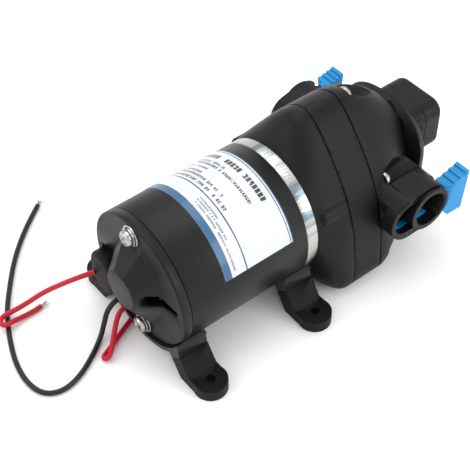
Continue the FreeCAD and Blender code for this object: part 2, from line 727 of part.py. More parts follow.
def tongue_outline():
    (y_1, z_1), (y_2, z_2) = neck_line()
    length = math.hypot(y_2 - y_1, z_2 - z_1)
    across_y = -(z_2 - z_1) / length * TONGUE_T / 2
    across_z = (y_2 - y_1) / length * TONGUE_T / 2
    return [(y_1 + across_y, z_1 + across_z), (y_2 + across_y, z_2 + across_z),
            (y_2 - across_y, z_2 - across_z), (y_1 - across_y, z_1 - across_z)]


def make_foot(x_centre, side, saddle):
    hole_y = FOOT_SPACING_Y / 2
    floor = -AXIS_HEIGHT
    top = floor + FOOT_PAD_T
    start, end = x_centre - FOOT_WIDTH / 2, x_centre + FOOT_WIDTH / 2
    pad_inner = hole_y - FOOT_PAD_R + 2.5
    heel_y = pad_inner - 6.9
    outer, inner = neck_corner(NECK_OUTER), neck_corner(NECK_INNER)
    pad = Part.makeCylinder(FOOT_PAD_R, FOOT_PAD_T, V(x_centre, hole_y, floor), Z_AXIS)
    heel = block((start, end), (heel_y, hole_y), (floor, top))
    neck = prism_x([(pad_inner, top), outer, inner, (heel_y, floor), (pad_inner, floor)], start, end)
    foot = pad.fuse([heel, neck]).removeSplitter()
    foot = foot.cut(Part.makeCylinder(FOOT_HOLE_R, 3 * FOOT_PAD_T, V(x_centre, hole_y, floor - FOOT_PAD_T),
                                      Z_AXIS))
    if side < 0:
        foot = mirrored(foot)
    return largest_solid(foot.cut(saddle).cut(rod_x(start - 1, end + 1, CAN_R + SADDLE_GAP + SADDLE_T)))


# Pump head

def flare_blend(share):
    return 1 - (1 - share) ** FLARE_POWER


def make_drive_housing():
    shares = (0.0, 0.1, 0.25, 0.45, 0.7, 1.0)
    sections = [head_section(HEAD_START + BELL_LENGTH * share, flare_blend(share)) for share in shares]
    bell = Part.makeLoft(sections, True, False)
    housing = bell.fuse(grooved_slab(FLANGE_X, SEAM_1, 0, 1)).removeSplitter()
    for y, z in head_screw_places()[1:4]:
        lug = rod_x(FLANGE_X - FLANK_BOSS_LENGTH, FLANGE_X + FLANGE_T / 2, FLANK_BOSS_R, y, z)
        lug = lug.makeFillet(2.0, [edge for edge in lug.Edges
                                   if edge.BoundBox.XMax < FLANGE_X - FLANK_BOSS_LENGTH + 1e-6])
        housing = housing.fuse(lug)
    housing = housing.cut(rod_x(0, HEAD_START, CAN_R * 2))
    cavity = rod_x(HEAD_START + DRIVE_FLOOR_T, SEAM_1 + 1, DRIVE_BORE_R)
    housing = housing.cut(cavity.fuse(rod_x(HEAD_START - 1, SEAM_1, BELL_HUB_R)))
    for y, z in head_screw_places():
        housing = housing.cut(rod_x(SEAM_1 - SCREW_BITE, SEAM_1 + 1, HEAD_SCREW_R + MATING_GAP, y, z))
    for y, z in bolt_places():
        housing = housing.cut(rod_x(0, BOLT_END_X + 0.5, BOLT_R + MATING_GAP, y, z))
    entry = lead_entry()
    socket = rod_x(entry[0] - 8, entry[0] + GROMMET_LENGTH, WIRE_R + GROMMET_WALL + MATING_GAP,
                   entry[1], entry[2])
    return largest_solid(housing.cut(socket))


def lead_entry():
    """Where the looped lead goes into the drive housing, in the motor's frame."""
    x, y, z = LOOP_ROUTE[-1]
    return x - CAN_REAR_X, y, z - AXIS_HEIGHT


def make_lead_entry_grommet():
    x, y, z = lead_entry()
    return rod_x(x, x + GROMMET_LENGTH, WIRE_R + GROMMET_WALL, y, z)


def tilted(shape):
    """Lean a shape of the wobble drive by the eccentric's angle, about its own middle."""
    return turned(shape, CAM_TILT, V(wobble_centre_x(), 0, 0), Y_AXIS)


def wobble_centre_x():
    return CAM_START + CAM_FLANGE_T + CAM_BEARING_W / 2 + 0.2


def cam_bearing_x():
    return wobble_centre_x() - CAM_BEARING_W / 2


def make_cam():
    flange = rod_x(CAM_START - 1.5, CAM_START + CAM_FLANGE_T - 0.6, CAM_FLANGE_R)
    journal = tilted(rod_x(CAM_START + CAM_FLANGE_T - 1.0, CAM_START + CAM_LENGTH, CAM_JOURNAL_R))
    cam = flange.fuse(journal).removeSplitter()
    return cam.cut(rod_x(0, SEAM_2, SHAFT_R + 0.02))


def make_wobble_plate():
    start = cam_bearing_x()
    end = start + CAM_BEARING_W
    hub = rod_x(start, end, WOBBLE_HUB_R)
    arms = []
    for index in range(3):
        arm = block((end - WOBBLE_ARM_T, end), (-WOBBLE_ARM_W / 2, WOBBLE_ARM_W / 2), (0, PISTON_CIRCLE_R))
        pad = rod_x(end - WOBBLE_ARM_T, end, WOBBLE_ARM_W / 2, 0, PISTON_CIRCLE_R)
        stem = rod_x(end, SEAM_1 - 0.4, PISTON_STEM_R, 0, PISTON_CIRCLE_R)
        arms.append(turned(arm.fuse([pad, stem]), 120 * index))
    plate = hub.fuse(arms).removeSplitter()
    plate = plate.cut(rod_x(start - 1, end + 1, CAM_BEARING_R + 0.02))
    for y, z in piston_places():
        plate = plate.cut(rod_x(start, SEAM_2, 1.3, y, z))
    return tilted(plate)


def make_pistons():
    pistons, screws = [], []
    seat = SEAM_1 + DIAPHRAGM_T + STROKE_GAP
    for y, z in piston_places():
        disc = rod_x(seat, seat + PISTON_T, PISTON_R, y, z)
        neck = rod_x(SEAM_1 - 0.4, seat, PISTON_STEM_R, y, z)
        piston = disc.fuse(neck).removeSplitter().cut(rod_x(0, SEAM_2, 1.3, y, z))
        pistons.append(tilted(piston))
        screw = pan_screw(seat + PISTON_T, y, z, 1.2, 2.6, 1.4, seat + PISTON_T - SEAM_1 + 5.0, 1)
        screws.append(tilted(screw))
    return pistons, screws


def make_diaphragm():
    sheet = rod_x(SEAM_1, SEAM_1 + DIAPHRAGM_T, DRIVE_BORE_R + 1.2)
    for y, z in piston_places():
        sheet = sheet.cut(rod_x(SEAM_1 - 1, SEAM_1 + DIAPHRAGM_T + 1, DIAPHRAGM_HOLE_R, y, z))
    return cut_screw_holes(sheet)


def cut_screw_holes(shape):
    for y, z in head_screw_places():
        shape = shape.cut(rod_x(SEAM_1 - 40, FRONT_X, HEAD_SCREW_R + MATING_GAP, y, z))
    return shape


def make_valve_housing():
    housing = grooved_slab(SEAM_1, SEAM_2, 1, 1)
    housing = housing.cut(rod_x(SEAM_1 - 1, SEAM_1 + DIAPHRAGM_T + 0.05, DRIVE_BORE_R + 1.3))
    chamber_end = SEAM_1 + DIAPHRAGM_T + CHAMBER_DEPTH
    for y, z in piston_places():
        housing = housing.cut(rod_x(SEAM_1 - 1, chamber_end, CHAMBER_R, y, z))
    web_end = chamber_end + VALVE_WEB_T
    housing = housing.cut(rod_x(web_end, SEAM_2 + 1, SEAL_R - 2.5))
    divider = tube_x(web_end, SEAM_2, OUTLET_CHAMBER_R + OUTLET_WALL, OUTLET_CHAMBER_R)
    housing = housing.fuse(divider).removeSplitter()
    for index in range(3):
        for radius in (PISTON_CIRCLE_R - 3.2, PISTON_CIRCLE_R + 2.2):
            y, z = around(radius, 120 * index)
            housing = housing.cut(rod_x(chamber_end - 1, web_end + 1, INLET_HOLE_R * 0.8, y, z))
        y, z = around(PISTON_CIRCLE_R, 120 * index)
        housing = housing.cut(rod_x(chamber_end - 1, web_end + 1, 1.0, y, z))
    ring = Part.makeTorus(SEAL_R, SEAL_SECTION_R + 0.05, V(SEAM_2, 0, 0), X_AXIS)
    return largest_solid(cut_screw_holes(housing.cut(ring)))


def make_valves():
    """Three inlet flaps inside the chambers and one outlet flap over the middle."""
    chamber_end = SEAM_1 + DIAPHRAGM_T + CHAMBER_DEPTH
    web_end = chamber_end + VALVE_WEB_T
    inlets = []
    for y, z in piston_places():
        flap = rod_x(chamber_end - VALVE_FLAP_T, chamber_end, VALVE_FLAP_R, y, z)
        stem = rod_x(chamber_end, web_end + 0.5, 0.95, y, z)
        inlets.append(flap.fuse(stem).removeSplitter())
    outlet = rod_x(web_end, web_end + VALVE_FLAP_T, OUTLET_FLAP_R)
    return inlets, outlet


def make_housing_seal():
    return Part.makeTorus(SEAL_R, SEAL_SECTION_R - 0.15, V(SEAM_2, 0, 0), X_AXIS)


def dome_share(share):
    return share ** DOME_POWER


def make_upper_housing():
    shares = (0.0, 0.3, 0.55, 0.75, 0.9, 1.0)
    sections = [mixed_section(SHOULDER_X + DOME_LENGTH * share, dome_share(share), HEAD_HALF, FRONT_HALF)
                for share in shares]
    dome = Part.makeLoft(sections, True, False)
    housing = dome.fuse(grooved_slab(SEAM_2, SHOULDER_X, 1, 0)).removeSplitter()
    housing = housing.fuse([make_port_body(port) for port in (LEFT_PORT, RIGHT_PORT)])
    annulus = tube_x(SEAM_2 - 1, SEAM_2 + MANIFOLD_DEPTH, MANIFOLD_R, OUTLET_CHAMBER_R + OUTLET_WALL)
    chamber = rod_x(SEAM_2 - 1, SEAM_2 + MANIFOLD_DEPTH, OUTLET_CHAMBER_R)
    inner_end = PORT_REACH - PORT_BORE_DEPTH + 0.5
    left_x, right_x = LEFT_PORT["x"] - PASSAGE_BACK, RIGHT_PORT["x"] - PASSAGE_BACK
    duct = rod_y(-MANIFOLD_R - 1, -OUTLET_CHAMBER_R, PASSAGE_R + PASSAGE_WALL, right_x, 0)
    housing = housing.cut(annulus.cut(duct)).cut(chamber)
    housing = housing.cut(rod_y(-inner_end, -OUTLET_CHAMBER_R + 2, PASSAGE_R, right_x, 0))
    housing = housing.cut(rod_y(MANIFOLD_R - 5, inner_end, PASSAGE_R, left_x, 0))
    for port in (LEFT_PORT, RIGHT_PORT):
        housing = housing.cut(port_cutter(port))
    housing = housing.cut(rod_x(SEAM_2, FRONT_X + 1, 2.0))
    for y, z in head_screw_places():
        radius = FLANK_POCKET_R if abs(y) == FLANK_SCREW[0] else POCKET_R
        pocket = rod_x(SEAM_2 + POCKET_START, FRONT_X + 20, radius, y, z)
        housing = housing.cut(pocket)
    for y, z in cover_screw_places():
        housing = housing.cut(rod_x(FRONT_X - COVER_SCREW_BITE - 1, FRONT_X + 1, COVER_SCREW_R + MATING_GAP,
                                    y, z))
    ring = Part.makeTorus(SEAL_R, SEAL_SECTION_R + 0.05, V(SEAM_2, 0, 0), X_AXIS)
    return largest_solid(cut_screw_holes(housing.cut(ring)))


def sided(shape, side):
    return shape if side > 0 else mirrored(shape)


def make_port_body(port, grow=0.0):
    """Port housing: a barrel along Y, drawn out towards the motor, drawn larger by grow to clear it."""
    inner_y = 24.0
    x, reach, barrel = port["x"], port["reach"], port["barrel"] + grow
    body = pill_y(x - PORT_BODY_STEP, port["lobe"] + grow, x, barrel, inner_y, reach)
    tube = rod_y(inner_y, reach + PORT_TUBE_PROUD, barrel - PORT_TUBE_WALL, x, 0)
    body = body.fuse(tube).removeSplitter()
    widest = max(y for y, z in HEAD_HALF)
    return sided(body.cut(block((SEAM_1, SEAM_2), (0, widest + 0.6), (-CAN_R, CAN_R))), port["side"])


def port_cutter(port):
    """Everything that is open in a port."""
    x, reach = port["x"], port["reach"]
    end = reach + PORT_TUBE_PROUD
    tube_r = port["barrel"] - PORT_TUBE_WALL
    slot_y = (CLIP_SLOT_Y, CLIP_SLOT_Y + CLIP_PLATE_T + 2 * CLIP_GAP)
    bore = rod_y(PORT_REACH - PORT_BORE_DEPTH, end, PORT_BORE_R, x, 0)
    outer_bore = rod_y(slot_y[1], end + 1, PORT_MOUTH_R, x, 0)
    slot_r = CLIP_PLATE_R + CLIP_GAP
    slot = pill_y(clip_rear_x(port), port["fork"] + CLIP_GAP, x, slot_r, slot_y[0], slot_y[1])
    way_out = block((x, x + 40), slot_y, (-slot_r, slot_r))
    core_z = CLIP_BITE_Z - CLIP_GAP
    core = rod_y(slot_y[0], slot_y[1], tube_r - PORT_CORE_STEP, x, 0)
    core = core.common(block((x - 20, x + 20), slot_y, (-core_z, core_z)))
    slot = slot.fuse(way_out).cut(core)
    step, window_r = port["window"]
    window = pill_y(x - step, window_r, x, window_r + 0.01, slot_y[0], reach + 1)
    tube = rod_y(slot_y[0], end, tube_r, x, 0)
    groove = rod_y(reach - 1.8, reach + 1, tube_r + 0.5, x, 0)
    mouth = block((x + 8.4, x + 20), (CLIP_TAB_Y[0] - CLIP_GAP, reach + 5),
                  (-port["barrel"] - 1, port["barrel"] + 1))
    open_space = window.fuse([groove, mouth]).cut(tube)
    seal_y = PORT_REACH - PORT_SEAL_DEPTH
    seal = rod_y(seal_y - PORT_SEAL_SECTION_R, seal_y + PORT_SEAL_SECTION_R,
                 PORT_BORE_R + 2 * PORT_SEAL_SECTION_R, x, 0)
    return sided(bore.fuse([outer_bore, slot, open_space, seal]), port["side"])


def clip_rear_x(port):
    return port["x"] - CLIP_PLATE_STEP


def clip_opening(port, start, end):
    """What is open in a clip's plate: room for the port's core, wider where the open clip frees the bore."""
    x = port["x"]
    core_r = port["barrel"] - PORT_TUBE_WALL - PORT_CORE_STEP + CLIP_GAP
    room = rod_y(start, end, core_r, x - CLIP_TRAVEL, 0)
    room = room.fuse(block((x - CLIP_TRAVEL, x + core_r), (start, end), (-core_r, core_r)))
    room = room.common(block((x - 40, x + 40), (start, end), (-CLIP_BITE_Z, CLIP_BITE_Z)))
    room = room.fuse(rod_y(start, end, CLIP_WIDE_R, x - CLIP_TRAVEL, 0))
    return room.fuse(block((x - 40, x - port["prong"]), (start, end), (-CAN_R, CAN_R)))


def make_clip(port):
    """Slide clip: a plate in the port that locks on the hose tail, and a ribbed thumb tab outside it."""
    x = port["x"]
    tab_reach, tab_top, tab_rise = port["tab"]
    plate_y = (CLIP_SLOT_Y + CLIP_GAP, CLIP_SLOT_Y + CLIP_GAP + CLIP_PLATE_T)
    tab_x = x + CLIP_TAB_START
    plate = pill_y(clip_rear_x(port), port["fork"], x, CLIP_PLATE_R, plate_y[0], plate_y[1])
    bridge = block((x, tab_x + 3), plate_y, (-CLIP_PLATE_R, tab_top - tab_rise))
    plate = plate.fuse(bridge)
    plate = largest_solid(plate.cut(clip_opening(port, plate_y[0] - 1, plate_y[1] + 1)))
    end_x = x + tab_reach
    profile = [(tab_x, tab_top - tab_rise), (end_x, tab_top),
               (end_x - 2.0, CLIP_TAB_BOTTOM), (tab_x + 3.4, CLIP_TAB_BOTTOM + 0.8),
               (x + 12.0, -10.0), (x + 12.0, -3.0)]
    tab = prism_y(profile, CLIP_TAB_Y[0], CLIP_TAB_Y[1])
    tube_r = port["barrel"] - PORT_TUBE_WALL
    tab = tab.cut(rod_y(plate_y[1] + 0.01, CLIP_TAB_Y[1] + 1, tube_r + CLIP_GAP, x, 0))
    scoop = Part.makeCone(tube_r + 0.5, CLIP_SCOOP_R, CLIP_SCOOP_T,
                          V(x, CLIP_TAB_Y[1] - CLIP_SCOOP_T + 0.01, 0), Y_AXIS)
    tab = tab.cut(scoop)
    slope = math.degrees(math.atan2(tab_rise, tab_reach - CLIP_TAB_START))
    pitch = (tab_reach - CLIP_TAB_START - 3.0) / CLIP_RIB_COUNT
    for index in range(CLIP_RIB_COUNT):
        rib_x = end_x - 2.2 - pitch * index
        level = tab_top - (end_x - rib_x) / (tab_reach - CLIP_TAB_START) * tab_rise
        groove = block((rib_x - pitch + CLIP_RIB_W, rib_x), CLIP_TAB_Y, (level - CLIP_RIB_H, level + 3))
        tab = tab.cut(turned(groove, -slope, V(rib_x, 0, level), Y_AXIS))
    body_gap = pill_y(x - PORT_BODY_STEP, port["lobe"] + CLIP_GAP, x, port["barrel"] + CLIP_GAP,
                      0, CLIP_TAB_Y[0] - 0.5)
    clip = largest_solid(plate.fuse(tab).removeSplitter().cut(body_gap))
    return sided(clip, port["side"])


def make_port_seal(port):
    ring = Part.makeTorus(PORT_BORE_R + PORT_SEAL_SECTION_R, PORT_SEAL_SECTION_R - PORT_SEAL_GAP,
                          V(port["x"], PORT_REACH - PORT_SEAL_DEPTH, 0), Y_AXIS)
    return sided(ring, port["side"])


def make_head_screws():
    screws = []
    seat = SEAM_2 + POCKET_START
    length = seat - (SEAM_1 - SCREW_BITE) - 0.5
    for y, z in head_screw_places():
        screws.append(pan_screw(seat, y, z, HEAD_SCREW_R, HEAD_SCREW_HEAD_R, HEAD_SCREW_HEAD_T, length, 1))
    return screws


# Front cover and pressure switch

def cover_screw_places():
    return [(side * COVER_SCREW_Y, z) for side in (-1, 1) for z in COVER_SCREW_Z]


def make_front_cover():
    end = FRONT_X + COVER_PLATE_T
    rear = [mixed_section(FRONT_X, 0.0, FRONT_HALF, PLATE_REAR_HALF),
            mixed_section(FRONT_X + COVER_STEP, 1.0, FRONT_HALF, PLATE_REAR_HALF)]
    front = [mixed_section(FRONT_X + COVER_STEP, 0.0, PLATE_REAR_HALF, PLATE_FRONT_HALF),
             mixed_section(end, 1.0, PLATE_REAR_HALF, PLATE_FRONT_HALF)]
    cover = Part.makeLoft(rear, True, True).fuse(Part.makeLoft(front, True, True)).removeSplitter()
    for port in (LEFT_PORT, RIGHT_PORT):
        cover = cover.cut(make_port_body(port, 0.15))
    cover = cover.cut(rod_x(FRONT_X - 1, end + 1, 2.0))
    for y, z in cover_screw_places():
        cover = cover.cut(rod_x(FRONT_X - 1, end + 1, COVER_SCREW_R + MATING_GAP, y, z))
    return largest_solid(cover)


def make_cover_screws():
    seat = FRONT_X + COVER_PLATE_T
    return [pan_screw(seat, y, z, COVER_SCREW_R, COVER_SCREW_HEAD_R, COVER_SCREW_HEAD_T,
                      COVER_PLATE_T + COVER_SCREW_BITE, 1) for y, z in cover_screw_places()]


def make_switch_shells():
    y_span = (-SWITCH_HALF_W, SWITCH_HALF_W)
    inner_y = (-SWITCH_HALF_W + SWITCH_WALL, SWITCH_HALF_W - SWITCH_WALL)
    inner_z = (SWITCH_Z[0] + SWITCH_WALL, SWITCH_Z[1] - SWITCH_WALL)
    inner_corner = SWITCH_CORNER_R - SWITCH_WALL
    base = rounded_bar_x(y_span, SWITCH_Z, SWITCH_CORNER_R, SWITCH_X, CAP_X)
    base = base.makeChamfer(SWITCH_SEAM_W, [edge for edge in base.Edges
                                            if edge.BoundBox.XMin > CAP_X - 1e-6])
    base = base.cut(rounded_bar_x(inner_y, inner_z, inner_corner, guide_x() + GUIDE_T, CAP_X + 1))
    base = base.cut(rod_x(SWITCH_X + SWITCH_FLOOR_T, guide_x(), SWITCH_BORE_R))
    base = base.cut(rod_x(SWITCH_X - 1, CAP_X, 2.0))
    base = base.cut(rod_x(SWITCH_X + 1, CAP_X, PLUNGER_R + PLUNGER_GAP))
    cap = rounded_bar_x(y_span, SWITCH_Z, SWITCH_CORNER_R, CAP_X, CAP_END)
    cap = cap.makeFillet(SWITCH_CAP_EDGE_R, [edge for edge in cap.Edges
                                             if edge.BoundBox.XMin > CAP_END - 1e-6])
    cap = cap.makeChamfer(SWITCH_SEAM_W, [edge for edge in cap.Edges
                                          if edge.BoundBox.XMax < CAP_X + 1e-6])
    cap = cap.cut(rounded_bar_x(inner_y, inner_z, inner_corner, CAP_X - 1, CAP_END - SWITCH_WALL))
    columns = [rod_x(guide_x() + GUIDE_T / 2, CAP_X, 3.4, y, z) for y, z in switch_screw_places()]
    posts = [rod_x(CAP_X, CAP_END - SWITCH_WALL / 2, 3.4, y, z) for y, z in switch_screw_places()]
    base = base.fuse(columns).removeSplitter()
    cap = cap.fuse(posts).removeSplitter()
    for y, z in switch_screw_places():
        base = base.cut(rod_x(CAP_X - 9, CAP_X + 1, 1.5, y, z))
        cap = cap.cut(rod_x(CAP_X - 1, CAP_END + 1, 1.6, y, z))
        cap = cap.cut(rod_x(CAP_END - 2.2, CAP_END + 1, 3.0, y, z))
    return base, cap


def switch_screw_places():
    middle = (SWITCH_Z[0] + SWITCH_Z[1]) / 2
    y, z = SWITCH_SCREW_YZ
    return [(y, middle + z), (-y, middle - z)]


def guide_x():
    """Rear face of the wall that guides the plunger."""
    return SWITCH_X + SWITCH_FLOOR_T + SWITCH_DIAPHRAGM_T + PLUNGER_HEAD_T + PLUNGER_TRAVEL + 1.2


def make_switch_inside():
    floor = SWITCH_X + SWITCH_FLOOR_T
    diaphragm = rod_x(floor, floor + SWITCH_DIAPHRAGM_T, SWITCH_BORE_R - 0.2)
    head_x = floor + SWITCH_DIAPHRAGM_T + 0.1
    plunger = rod_x(head_x, head_x + PLUNGER_HEAD_T, PLUNGER_HEAD_R)
    plunger = plunger.fuse(rod_x(head_x, head_x + PLUNGER_LENGTH, PLUNGER_R)).removeSplitter()
    micro_x = head_x + PLUNGER_LENGTH + PLUNGER_TRAVEL + 0.2
    depth, width, height = MICRO_SWITCH
    micro = block((micro_x, micro_x + depth), (-width / 2, width / 2), (-height / 2, height / 2))
    bracket = block((micro_x, CAP_END - SWITCH_WALL), (-width / 2, width / 2), (height / 2, height / 2 + 3))
    spring = make_coil(head_x + PLUNGER_HEAD_T + PLUNGER_TRAVEL + 0.15, guide_x() - 0.1)
    screws = [pan_screw(CAP_END - 2.2, y, z, 1.4, 2.7, 1.6, SWITCH_CAP_LENGTH + 4.0, 1)
              for y, z in switch_screw_places()]
    return diaphragm, plunger, micro.fuse(bracket).removeSplitter(), spring, screws


def make_coil(start, end):
    """Plain sleeve in the space of the small return spring, which is shut inside the switch."""
    return tube_x(start, end, SPRING_R, SPRING_R - 2 * SPRING_WIRE_R)


# Leads

def rounded_route(points):
    """Edges of straight runs joined by tangent arcs, and the arcs' radii."""
    vectors = [V(*point) for point in points]
    edges, radii = [], []
    here = vectors[0]
    for index in range(1, len(vectors) - 1):
        corner = vectors[index]
        back = (vectors[index - 1] - corner)
        ahead = (vectors[index + 1] - corner)
        run = min(back.Length, ahead.Length)
        turn = math.pi - back.getAngle(ahead)
        radius = 0.45 * run / math.tan(turn / 2)
        radii.append(radius)
        back.normalize()
        ahead.normalize()
        cut_back = radius * math.tan(turn / 2)
        first = corner + back * cut_back
        last = corner + ahead * cut_back
        inward = (back + ahead)
        inward.normalize()
        middle = corner + inward * (radius / math.cos(turn / 2) - radius)
        edges.append(Part.LineSegment(here, first).toShape())
        edges.append(Part.Arc(first, middle, last).toShape())
        here = last
    edges.append(Part.LineSegment(here, vectors[-1]).toShape())
    return edges, radii


def make_lead(name, points, radius):
    edges, radii = rounded_route(points)
    path = Part.Wire(edges)
    along = V(*points[1]) - V(*points[0])
    ring = Part.Wire(Part.Circle(V(*points[0]), along, radius).toShape())
    tube = path.makePipeShell([ring], True, False)
    expected = path.Length * math.pi * radius ** 2
    print(name, "length %.1f" % path.Length, "volume share %.4f" % (tube.Volume / expected),
          "least radius %.1f" % min(radii), "radii", [round(r, 1) for r in radii])
    return tube


def make_strands(route, spread):
    """Bare strands beyond the end of a lead, fanned out a little, as one group."""
    end, before = V(*route[-1]), V(*route[-2])
    along = (end - before)
    along.normalize()
    across = Z_AXIS.cross(along)
    strands = []
    for index in range(STRAND_COUNT):
        offset = (index - (STRAND_COUNT - 1) / 2)
        lift = V(0, 0, -0.25 if index % 2 else 0.35)
        start = end + across * (offset * 0.42) + lift
        heading = along + across * (offset * spread)
        heading.normalize()
        strands.append(Part.makeCylinder(0.2, STRAND_LENGTH - abs(offset), start, heading))
    return strands


# Build every node

def build():
    keep("motor_can", make_can())
    keep("name_label", make_label())
    keep("front_bell", make_front_bell())
    keep("rear_cover", make_rear_cover())
    keep("wire_grommets", make_grommets())
    keep("wire_boot", make_boot())
    bolts, flats, springs = make_bolt_set()
    keep("through_bolts", group(bolts))
    keep("flat_washers", group(flats))
    keep("spring_washers", group(springs))
    keep("field_magnets", group(make_magnets()))
    core, winding, commutator, shaft = make_rotor()
    keep("armature_core", core)
    keep("armature_winding", winding)
    keep("commutator", commutator)
    keep("motor_shaft", shaft)
    rear = make_bearing(rear_bearing_x(), BEARING_W, SHAFT_R, BEARING_R)
    front = make_bearing(front_bearing_x(), BEARING_W, SHAFT_R, BEARING_R)
    keep("motor_bearing_outer_rings", group([rear[0], front[0]]))
    keep("motor_bearing_inner_rings", group([rear[1], front[1]]))
    keep("motor_bearing_balls", group(rear[2] + front[2]))
    boxes, brushes, brush_springs = make_brushes()
    keep("brush_holders", group(boxes))
    keep("carbon_brushes", group(brushes))
    keep("brush_springs", group(brush_springs))
    for place, x_centre in zip(("rear", "front"), foot_centres()):
        saddle = make_saddle(x_centre)
        keep(place + "_saddle", saddle)
        keep("foot_" + place + "_left", make_foot(x_centre, 1, saddle))
        keep("foot_" + place + "_right", make_foot(x_centre, -1, saddle))
    keep("drive_housing", make_drive_housing())
    keep("lead_entry_grommet", make_lead_entry_grommet())
    keep("eccentric_cam", make_cam())
    cam_outer, cam_inner, cam_balls = make_bearing(cam_bearing_x(), CAM_BEARING_W, CAM_JOURNAL_R,
                                                   CAM_BEARING_R)
    keep("cam_bearing_outer_ring", tilted(cam_outer))
    keep("cam_bearing_inner_ring", tilted(cam_inner))
    keep("cam_bearing_balls", group([tilted(ball) for ball in cam_balls]))
    keep("wobble_plate", make_wobble_plate())
    pistons, piston_screws = make_pistons()
    keep("pistons", group(pistons))
    keep("piston_screws", group(piston_screws))
    keep("diaphragm", make_diaphragm())
    keep("valve_housing", make_valve_housing())
    inlets, outlet = make_valves()
    keep("inlet_valves", group(inlets))
    keep("outlet_valve", outlet)
    keep("housing_seal", make_housing_seal())
    keep("upper_housing", make_upper_housing())
    keep("head_screws", group(make_head_screws()))
    keep("slide_clip_left", make_clip(LEFT_PORT))
    keep("slide_clip_right", make_clip(RIGHT_PORT))
    keep("port_seals", group([make_port_seal(LEFT_PORT), make_port_seal(RIGHT_PORT)]))
    keep("front_cover", make_front_cover())
    keep("front_cover_screws", group(make_cover_screws()))
    base, cap = make_switch_shells()
    keep("switch_base", base)
    keep("switch_cap", cap)
    diaphragm, plunger, micro, spring, screws = make_switch_inside()
    keep("switch_diaphragm", diaphragm)
    keep("switch_plunger", plunger)
    keep("micro_switch", micro)
    keep("switch_spring", spring)
    keep("switch_screws", group(screws))
    keep_placed("black_lead", make_lead("black_lead", BLACK_ROUTE, WIRE_R))
    keep_placed("red_lead", make_lead("red_lead", RED_ROUTE, WIRE_R))
    keep_placed("switch_lead", make_lead("switch_lead", LOOP_ROUTE, WIRE_R))
    keep_placed("black_lead_strands", group(make_strands(BLACK_ROUTE, 0.10)))
    keep_placed("red_lead_strands", group(make_strands(RED_ROUTE, 0.10)))


build()
os.makedirs("parts", exist_ok=True)
for node_name, node_shape in nodes.items():
    bad = [solid for solid in node_shape.Solids if not solid.isValid()]
    if bad or not node_shape.Solids:
        print("check", node_name, "solids", len(node_shape.Solids), "invalid", len(bad))
    node_shape.exportStep("parts/%s.step" % node_name)
print(len(nodes), "nodes")
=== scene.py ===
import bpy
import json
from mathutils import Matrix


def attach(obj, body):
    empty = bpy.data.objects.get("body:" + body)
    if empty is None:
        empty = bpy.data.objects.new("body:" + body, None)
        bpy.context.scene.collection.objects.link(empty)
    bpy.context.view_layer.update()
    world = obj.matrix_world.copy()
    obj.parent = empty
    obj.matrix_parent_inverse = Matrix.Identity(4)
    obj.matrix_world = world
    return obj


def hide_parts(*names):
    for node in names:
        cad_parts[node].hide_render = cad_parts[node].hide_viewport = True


bl_info = {
    "name": "Diaphragm Water Pump",
    "version": (1, 0, 0),
    "blender": (4, 5, 0),
    "location": "View3D > Sidebar > Pump",
    "description": "Dresses the packed frame of a 12 volt diaphragm water pump",
    "category": "Object",
}

import json
import math

import bmesh
import bpy
import numpy as np
from mathutils import Matrix, Vector

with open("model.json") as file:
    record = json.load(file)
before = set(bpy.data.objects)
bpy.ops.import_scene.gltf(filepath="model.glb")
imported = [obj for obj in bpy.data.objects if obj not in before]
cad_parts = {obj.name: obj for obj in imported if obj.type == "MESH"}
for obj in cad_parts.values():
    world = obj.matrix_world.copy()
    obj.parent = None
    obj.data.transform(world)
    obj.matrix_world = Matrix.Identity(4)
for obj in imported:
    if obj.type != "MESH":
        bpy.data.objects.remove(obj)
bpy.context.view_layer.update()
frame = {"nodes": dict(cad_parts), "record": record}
NODES = frame["nodes"]

# Routes of the leads, from the exit to the far end, in metres
BLACK_ROUTE = [
    (-0.0415, 0.0146, 0.0195), (-0.0480, 0.0147, 0.0195), (-0.0536, 0.0149, 0.0146),
    (-0.0566, 0.0142, 0.0070), (-0.0615, 0.0112, 0.0020), (-0.0695, 0.0056, 0.0015),
    (-0.0815, -0.0016, 0.0015), (-0.0935, -0.0046, 0.0015), (-0.1026, -0.0006, 0.0015),
    (-0.1059, 0.0100, 0.0015), (-0.1042, 0.0250, 0.0015), (-0.0980, 0.0416, 0.0015),
    (-0.0902, 0.0574, 0.0015), (-0.0798, 0.0718, 0.0015), (-0.0686, 0.0860, 0.0015),
    (-0.0568, 0.0978, 0.0015), (-0.0460, 0.1070, 0.0015), (-0.0354, 0.1148, 0.0015)]
RED_ROUTE = [
    (-0.0495, 0.0300, 0.0290), (-0.0555, 0.0322, 0.0282), (-0.0636, 0.0386, 0.0226),
    (-0.0724, 0.0464, 0.0146), (-0.0812, 0.0514, 0.0070), (-0.0890, 0.0532, 0.0048),
    (-0.0946, 0.0536, 0.0047), (-0.0980, 0.0505, 0.0046), (-0.0962, 0.0472, 0.0046),
    (-0.0918, 0.0476, 0.0042), (-0.0846, 0.0489, 0.0017), (-0.0790, 0.0488, 0.0015),
    (-0.0737, 0.0493, 0.0015)]
